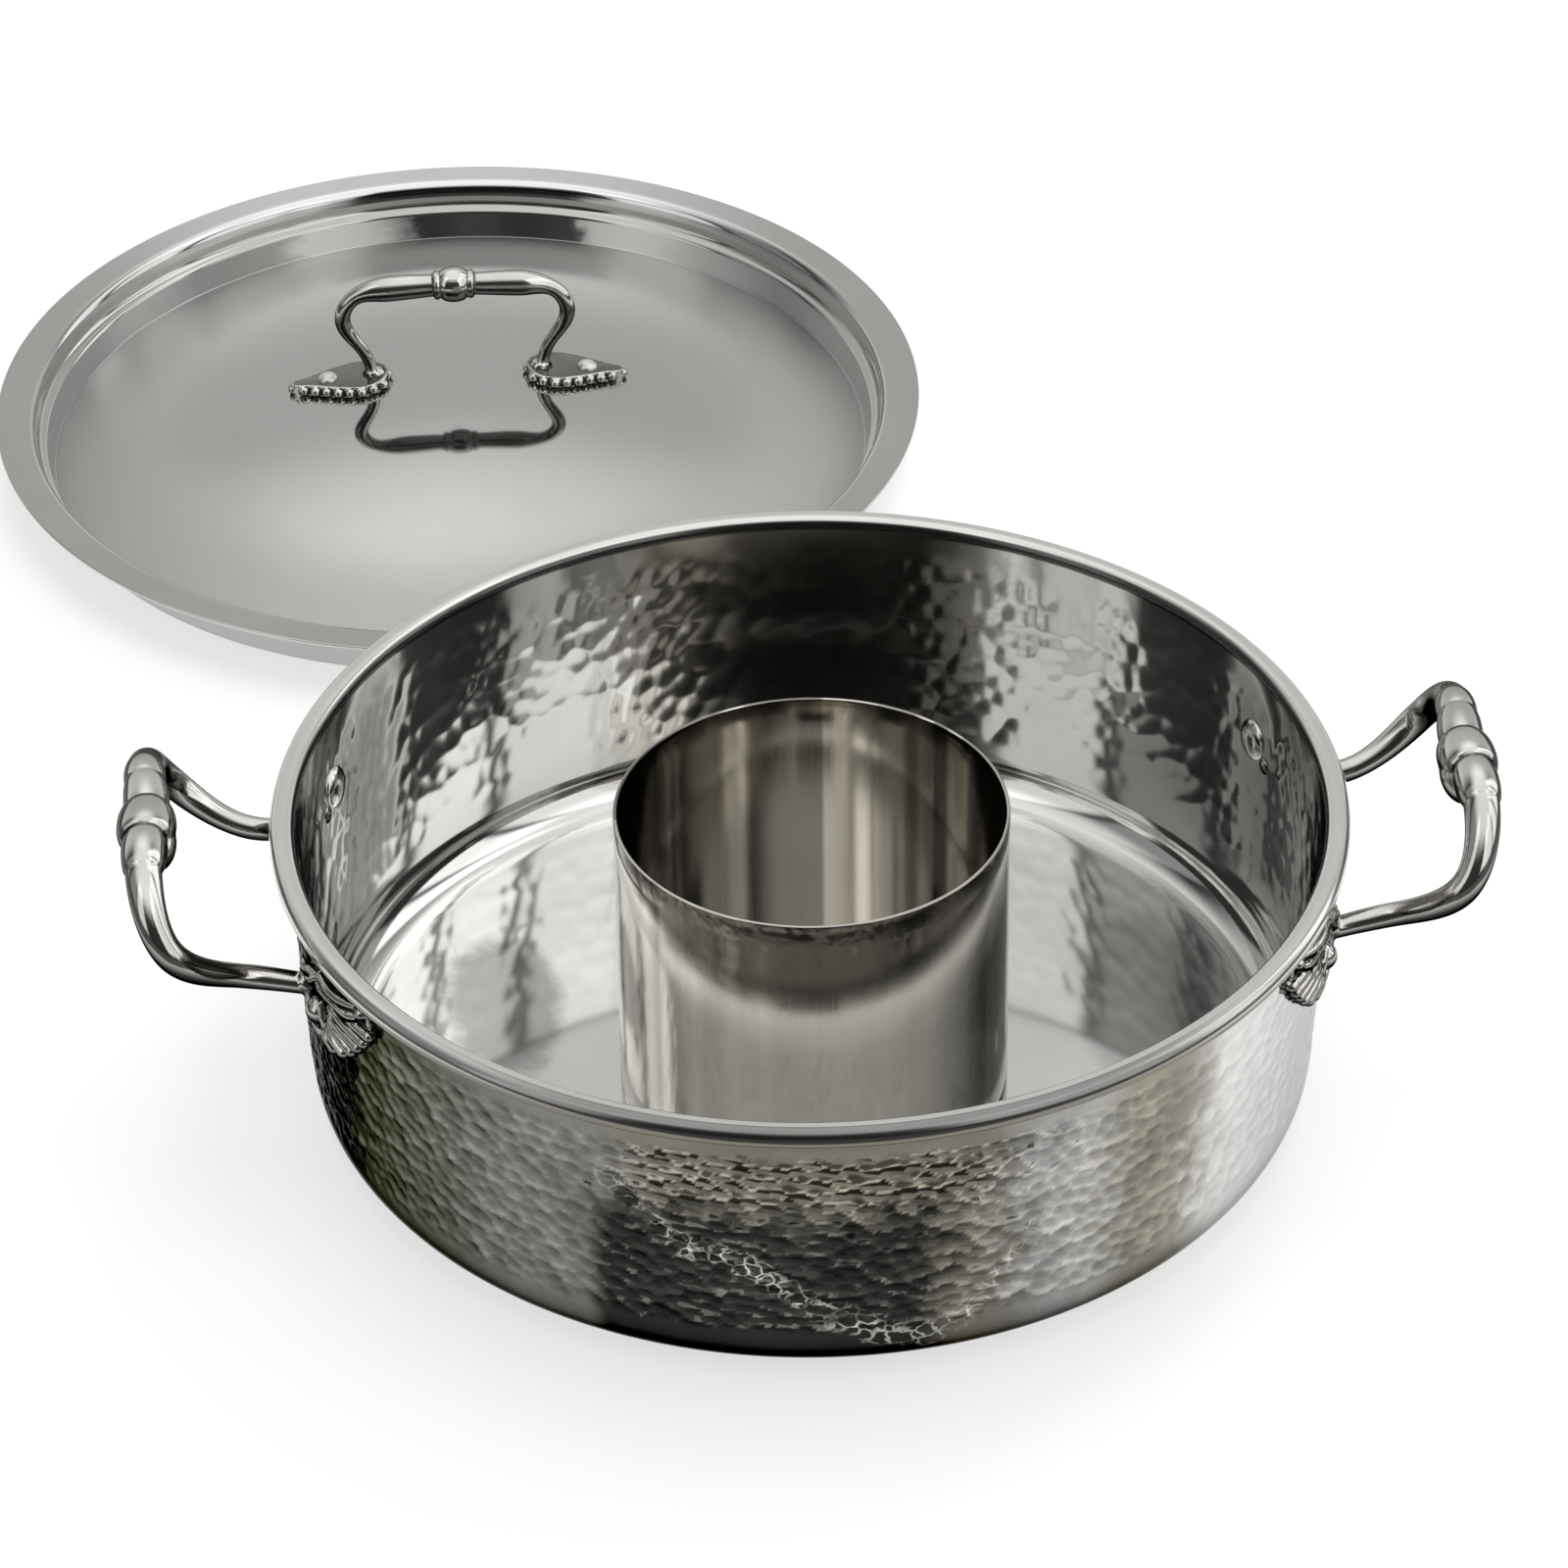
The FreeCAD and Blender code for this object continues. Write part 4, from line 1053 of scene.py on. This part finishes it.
# The bar's radius with a bulb and a cuff or two on each side of it.
def gripRadii(along, thick):
    result = thick.copy()
    for low, high, first, last in handle["cuffs"]:
        inside = (along >= low) & (along <= high)
        share = (along[inside] - low) / (high - low)
        lipShade = handle["cuffLip"] * ((1 - share) ** 8 + share ** 8)
        result[inside] = first + (last - first) * share + handle["cuffBelly"] * np.sin(share * math.pi) - lipShade
    swell(result, along, *[handle["bulb" + part] for part in ("At", "Half", "Foot", "Radius", "Ends")])
    return result


# The leaf's body: a sheet of metal on the wall, thin at its edge, with a raised middle.
def leafPatch():
    edge = np.array(leaf["edge"], float)
    us, vs = [np.arange(edge[:, k].min() - 1, edge[:, k].max() + 2, leaf["grid"]) for k in (0, 1)]
    gridU, gridV = np.meshgrid(us, vs, indexing="ij")
    inside = np.zeros(gridU.shape, bool)
    nearest = np.full(gridU.shape, 99.0)
    for (x0, y0), (x1, y1) in zip(np.roll(edge, 1, axis=0), edge):
        along, up = x1 - x0, y1 - y0
        inside ^= ((y0 > gridV) != (y1 > gridV)) & (gridU < along * (gridV - y0) / (up + 1e-12) + x0)
        share = np.clip(((gridU - x0) * along + (gridV - y0) * up) / math.hypot(along, up) ** 2, 0, 1)
        nearest = np.minimum(nearest, np.hypot(gridU - x0 - share * along, gridV - y0 - share * up))
    full = np.where(inside, np.clip(nearest / leaf["edgeRound"], 0, 1), 0)
    least, deep = leaf["domed"]
    lift = leaf["thick"] * np.sqrt(np.clip(1 - (1 - full) ** 2, 0, 1))
    lift = lift * (least + (1 - least) * np.clip(nearest / deep, 0, 1))
    vertices, faces, number = [], [], {}
    for i, j in np.argwhere(inside):
        number[i, j] = len(vertices)
        vertices += [onWall(us[i], vs[j], lift[i, j]), onWall(us[i], vs[j], -leaf["sunk"])]
    border = {}
    for i in range(len(us) - 1):
        for j in range(len(vs) - 1):
            corners = [number.get(c) for c in ((i, j), (i + 1, j), (i + 1, j + 1), (i, j + 1))]
            if None in corners:
                continue
            faces += [corners, [c + 1 for c in reversed(corners)]]
            for a, b in zip(corners, corners[1:] + corners[:1]):
                if border.pop((b, a), None) is None:
                    border[a, b] = True
    faces += [(b, a, a + 1, b + 1) for a, b in border]
    return meshOf(vertices, faces)


# The leaf's ribs and scrolls as (points, radii).
def leafBars():
    paths = []
    tips, (top, bottom), thick = leaf["ribTips"], leaf["ribStarts"], leaf["ribRadius"]
    for i, tip in enumerate(tips):
        share = i / (len(tips) - 1)
        near = (top[0] + (bottom[0] - top[0]) * share, top[1] + (bottom[1] - top[1]) * share)
        bend = ((near[0] + tip[0]) / 2, (near[1] + tip[1]) / 2 + leaf["ribBend"])
        spots = [onWall(*spot, lift) for spot, lift in zip((near, bend, tip), leaf["ribLifts"])]
        paths.append(smoothPath(spots, [thick * leaf["ribStart"], thick, thick], 20)[:2])
    first, middle, last = leaf["scrollRadii"]
    for spots in leaf["scrolls"]:
        radii = [first] + [middle] * (len(spots) - 2) + [last]
        paths.append(smoothPath([onWall(*spot) for spot in spots], radii, 40)[:2])
    return paths


def leafBalls():
    size = leaf["ribRadius"] * leaf["ribTip"]
    spots = [(tip, size, size, leaf["ribLifts"][-1]) for tip in leaf["ribTips"]]
    spots += [(*knot, leaf["knotLift"]) for knot in leaf["knots"]]
    return [(onWall(*spot, lift), (wide, wide, high), outwardAt(spot[0])) for spot, wide, high, lift in spots]


def mirrored(mesh, x, y):
    copy = mesh.copy()
    copy.transform(Matrix.Diagonal((x, y, 1, 1)))
    copy.flip_normals()
    return copy


def buildSideHandles():
    mouth, rim = pan["mouthRadius"], pan["height"]
    reach, high = mouth + handle["gripOut"], rim + handle["gripRise"]
    half = [(reach + handle["gripBow"], handle["gripHalf"], high),
            (mouth + handle["bendOut"], handle["bendSpread"], rim - handle["bendDrop"]),
            (mouth + handle["armOut"], handle["armSpread"], rim - handle["armDrop"]),
            onWall(0, -handle["rootBelow"], -handle["rootSunk"])]
    points = [(x, -y, z) for x, y, z in half[::-1]] + [(reach, 0, high)] + half
    radii = handle["radii"] + handle["radii"][-1:] + handle["radii"][::-1]
    spots, thick, lengths = smoothPath(points, radii, 720)
    thick = gripRadii(lengths - lengths[-1] / 2, thick)
    foot = merged([leafPatch(), bars(leafBars(), 12), balls(leafBalls())])
    belly = (reach - handle["bellyIn"], handle["bellyAt"], high - handle["bellyDown"])
    belly = balls([(belly, handle["belly"], handle["bellyOut"])], 5)
    meshes = [bars([(spots, thick)], 40), belly, foot, mirrored(foot, 1, -1)]
    right = castTogether(meshes, handle)
    addPiece("right_cast_handle", right, castMetal, "pan", "right_side_handle")
    addPiece("left_cast_handle", mirrored(right, -1, 1), castMetal, "pan", "left_side_handle")


buildSideHandles()
print("side handles done")

lidHandle = {
    "barHeight": 34.4, "barHalf": 21.0, "barDroop": 0.6,
    # out from the middle, above the crown
    "bends": [(33.4, 30.2), (36.6, 23.0), (30.2, 10.4)],
    "leg": 27.2, "legRise": 0.4, "middleRadius": 3.5,
    "radii": [4.2, 2.55, 2.55, 2.0, 2.0],  # bar, bends and leg
    # (place along the bar, half length, radius at its foot and at its top)
    "swells": [(0, 4.3, 4.0, 5.85), (5.5, 1.0, 4.1, 4.8)],
    "collar": (3.1, 3.1, 1.8), "collarRise": 3.9,
    "padThick": 3.6, "padHeel": 4.6, "padLength": 32.4, "padHalfWidth": 8.4, "padSunk": 0.4, "padDish": 0.35,
    # half of the pad's edge from heel to tip: share of its length, share of its half width
    "padEdge": [(0, 0.0), (0.05, 0.52), (0.16, 0.86), (0.3, 0.98), (0.48, 0.84), (0.66, 0.58), (0.84, 0.3),
                (0.97, 0.06)],
    "padRings": [1.0, 0.85, 0.6, 0.3],
    "beadPitch": 4.0, "edgeBead": 1.7, "edgeBeadRise": 1.5,
    "voxel": 0.36, "smoothing": 1,
}


# Half of the pad's edge from its heel to its tip, as points.
def padOutline():
    inner = lidHandle["leg"] - lidHandle["padHeel"]
    long, wide = lidHandle["padLength"], lidHandle["padHalfWidth"]
    return [(inner + long * x, wide * y, 0) for x, y in lidHandle["padEdge"]]


# The pad's flat leaf, a closed plate that follows the dome.
def padMesh(side):
    half, dish = padOutline(), lidHandle["padDish"]
    whole = half + [(x, -y, z) for x, y, z in half[::-1][:-1]]
    fine = smoothPath(whole + whole[:1], [1] * (len(whole) + 1), 120)[0][:-1]
    vertices, faces = [], []
    middle = np.array([np.mean(fine[:, 0]), 0.0])
    count, rings = len(fine), len(lidHandle["padRings"])
    for lift, hollow in ((lidHandle["padThick"], dish), (-lidHandle["padSunk"], 0)):
        for part in lidHandle["padRings"]:
            for spot in fine:
                x, y = middle + (spot[:2] - middle) * part
                vertices.append((x * side, y, domeHeight(x, y) + lift - dish + hollow * part ** 2))
    around = [(i, (i + 1) % count) for i in range(count)]
    for base in (0, rings * count):
        for ring in range(rings - 1):
            start = base + ring * count
            faces += [(start + i, start + j, start + j + count, start + i + count) for i, j in around]
        faces.append([base + (rings - 1) * count + i for i in range(count)])
    faces += [(i, i + rings * count, j + rings * count, j) for i, j in around]
    mesh = meshOf(vertices, faces)
    bm = bmesh.new()
    bm.from_mesh(mesh)
    bmesh.ops.recalc_face_normals(bm, faces=bm.faces)
    bm.to_mesh(mesh)
    bm.free()
    return mesh


# Round beads along both edges of the pad and one at its tip; every other one is smaller.
def padBeads(side):
    half = padOutline()
    fine, _, lengths = smoothPath(half, [1] * len(half), 300)
    pitch, rise = lidHandle["beadPitch"], lidHandle["edgeBeadRise"]
    spots = []
    for i in range(int(lengths[-1] / pitch) + 1):
        x, y, _ = fine[int(np.argmin(np.abs(lengths - (lengths[-1] - i * pitch))))]
        size = lidHandle["edgeBead"] * (1.0 - 0.10 * (i % 2))
        for turn in ((1, -1) if y > 1.2 else (1,)):
            spots.append(((x * side, y * turn, domeHeight(x, y) + rise), (size, size, rise + 0.1), (0, 0, 1)))
    return spots


def buildLidHandle():
    crown, leg = lid["crownHeight"], lidHandle["leg"]
    top = crown + lidHandle["barHeight"]
    half = [(lidHandle["barHalf"], 0, top - lidHandle["barDroop"])]
    half += [(x, 0, crown + z) for x, z in lidHandle["bends"]]
    half += [(leg, 0, domeHeight(leg) + lidHandle["legRise"])]
    points = [(-x, y, z) for x, y, z in half[::-1]] + [(0, 0, top)] + half
    radii = lidHandle["radii"][::-1] + [lidHandle["middleRadius"]] + lidHandle["radii"]
    spots, thick, lengths = smoothPath(points, radii, 640)
    for given in lidHandle["swells"]:
        swell(thick, np.abs(lengths - lengths[-1] / 2), *given)
    meshes = [bars([(spots, thick)], 32)]
    for side in (1, -1):
        collar = (leg * side, 0, domeHeight(leg) + lidHandle["collarRise"])
        meshes += [padMesh(side), balls(padBeads(side)), balls([(collar, lidHandle["collar"], (0, 0, 1))])]
    mesh = castTogether(meshes, lidHandle)
    mesh.transform(Matrix.Translation((lidCentre[0] * mm, lidCentre[1] * mm, 0)))
    addPiece("lid_cast_handle", mesh, castMetal, "lid", "lid_handle")


buildLidHandle()
print("lid handle done")

rivets = {"along": 15.7, "up": 0.2, "head": 6.2, "dome": 2.2, "sunk": 0.1,
          "lidOut": 15.3, "lidHead": 3.3, "lidDome": 1.8, "lidSunk": 0.4}


# Low round heads: ellipsoids whose middles are sunk a little under the face.
def addRivets(name, spots, body, node):
    mesh = balls(spots, 5, rivetMetal)
    mesh.shade_smooth()
    addPiece(name, mesh, rivetMetal, body, node)


def buildRivets():
    head, dome = rivets["head"], rivets["dome"]
    height = pan["height"] - handle["rootDrop"] + rivets["up"]
    radius = wallRadius(panThick - rivets["sunk"], height)
    for which, turn in (("right", 0), ("left", math.pi)):
        spots = []
        for side in (1, -1):
            angle = side * (handle["rootSpread"] + rivets["along"]) / pan["mouthRadius"] + turn
            x, y = math.cos(angle), math.sin(angle)
            spots.append(((radius * x, radius * y, height), (head, head, dome), (-x, -y, math.tan(wallTaper))))
        addRivets(which + "_wall_rivets", spots, "pan", which + "_handle_rivets")
    head, dome, sunk = rivets["lidHead"], rivets["lidDome"], rivets["lidSunk"]
    spots = []
    for side in (1, -1):
        x = (lidHandle["leg"] + rivets["lidOut"]) * side
        out = (x / lidDomeRadius, 0, math.sqrt(1 - (x / lidDomeRadius) ** 2))
        for lift, high in ((lidHandle["padThick"] - sunk, dome + sunk), (-lid["thick"], dome)):
            spots.append(((lidCentre[0] + x, lidCentre[1], domeHeight(x) + lift), (head, head, high), out))
    addRivets("lid_rivets", spots, "lid", "lid_handle_rivets")


buildRivets()
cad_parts["aluminium_core"].material_slots[0].material = lidMetal
print("rivets done")

stage = {
    "floorMiddle": (0.0, 0.2375),
    "floorRadius": 6.0,
    "floorUnder": 0.0002,
    "paleHalf": (0.37, 0.4625),  # the pale part, before it turns grey
    "corners": 8.0,  # how square the pale part is
    "fade": 0.08,
    "floorColour": (0.88, 0.88, 0.87),
    "glowColour": (0.985, 0.985, 0.975),
    "farColour": (0.12, 0.12, 0.118),
    "floorGlow": 0.70,
}


# The eye sees a pale floor everywhere, the metal sees its far part grey.
def buildFloor():
    mesh = bpy.data.meshes.new("floor")
    bm = bmesh.new()
    bmesh.ops.create_circle(bm, cap_ends=True, radius=stage["floorRadius"], segments=128)
    bmesh.ops.translate(bm, vec=(0, 0, -stage["floorUnder"]), verts=bm.verts)
    bm.to_mesh(mesh)
    bm.free()
    floor = newObject("floor", mesh)
    material = bpy.data.materials.new("pale floor")
    bench = benchOf(material)
    off = [(abs(spot - middle) / half).math("POWER", stage["corners"])
           for spot, middle, half in zip(bench.split(bench.place()), stage["floorMiddle"], stage["paleHalf"])]
    far = (off[0] + off[1]).math("POWER", 1 / stage["corners"])
    path = bench.add("ShaderNodeLightPath").outputs
    camera = Signal(bench, path["Is Camera Ray"])
    share = far.ramp(1.0, 1.0 + stage["fade"]) * (1.0 - camera)
    colour, shine = [bench.mix(share, stage[title], stage["farColour"])
                     for title in ("floorColour", "glowColour")]
    diffuse = bench.add("ShaderNodeBsdfDiffuse", {"Color": colour})
    glow = bench.add("ShaderNodeEmission", {"Color": shine, "Strength": 1.0})
    seen = camera.math("MAXIMUM", path["Is Glossy Ray"]).math("MAXIMUM", path["Is Transmission Ray"])
    both = bench.add("ShaderNodeMixShader", {0: seen * stage["floorGlow"], 1: diffuse, 2: glow})
    bench.add("ShaderNodeOutputMaterial", {"Surface": both})
    mesh.materials.append(material)


buildFloor()

room = {
    "dark": 0.035,
    "back": 0.62,
    "backFrom": (0.28, 0.72),
    "low": 0.20,
    "lowUpTo": 25,
    "top": 1.6,
    "topFrom": (34, 68),
    "colour": (1.0, 1.0, 0.985),
    # each soft panel: bearing from +Y towards +X, half width, lowest and highest angle, level
    "panels": [(122, 13, 5, 60, 0.95), (146, 10, 10, 55, 1.1), (92, 12, 5, 55, 1.2), (66, 9, 0, 60, 1.3),
               (-86, 14, 5, 55, 0.26), (-120, 15, 5, 60, 0.80)],
}


def buildRoom():
    scene.world = bpy.data.worlds.new("studio room")
    bench = benchOf(scene.world)
    x, y, z = bench.split(bench.add("ShaderNodeTexCoord").outputs["Generated"])
    bearing, rise = x.math("ARCTAN2", y).math("DEGREES"), z.math("ARCSINE").math("DEGREES")
    behind = y.ramp(*room["backFrom"])
    level = behind * (room["back"] - room["dark"]) + room["dark"]
    level = level + behind * rise.ramp(0, room["lowUpTo"], room["low"], 0)
    level = level + rise.ramp(*room["topFrom"], 0, room["top"] - room["back"])
    for middle, half, low, high, strength in room["panels"]:
        off = abs((bearing - middle).math("WRAP", 180.0, -180.0))
        part = off.ramp(half - 3, half + 3, strength, 0)
        level = level + part * rise.between(low - 4, low + 4, high - 8, high + 8)
    # the eye sees a white backdrop
    camera = Signal(bench, bench.add("ShaderNodeLightPath").outputs["Is Camera Ray"])
    level = level * (1.0 - camera) + camera
    background = bench.add("ShaderNodeBackground", {"Color": room["colour"], "Strength": level})
    bench.add("ShaderNodeOutputWorld", {"Surface": background})


buildRoom()

lamps = {
    # place, aim, width, height, watts
    "back key": ((0.9, 1.2, 1.5), (0, 0.1, 0), 0.9, 0.9, 22),
    "top": ((0.0, 0.2, 1.8), (0, 0.1, 0), 1.2, 1.2, 18),
}


def buildLamps():
    for name, (place, aim, wide, high, watts) in lamps.items():
        data = bpy.data.lights.new(name, "AREA")
        data.shape = "RECTANGLE"
        data.size, data.size_y = wide, high
        data.energy = watts
        lamp = newObject(name, data)
        lamp.visible_glossy = False
        lamp.location = place
        lamp.rotation_euler = (Vector(aim) - Vector(place)).to_track_quat("-Z", "Y").to_euler()


buildLamps()
print("floor and light done")
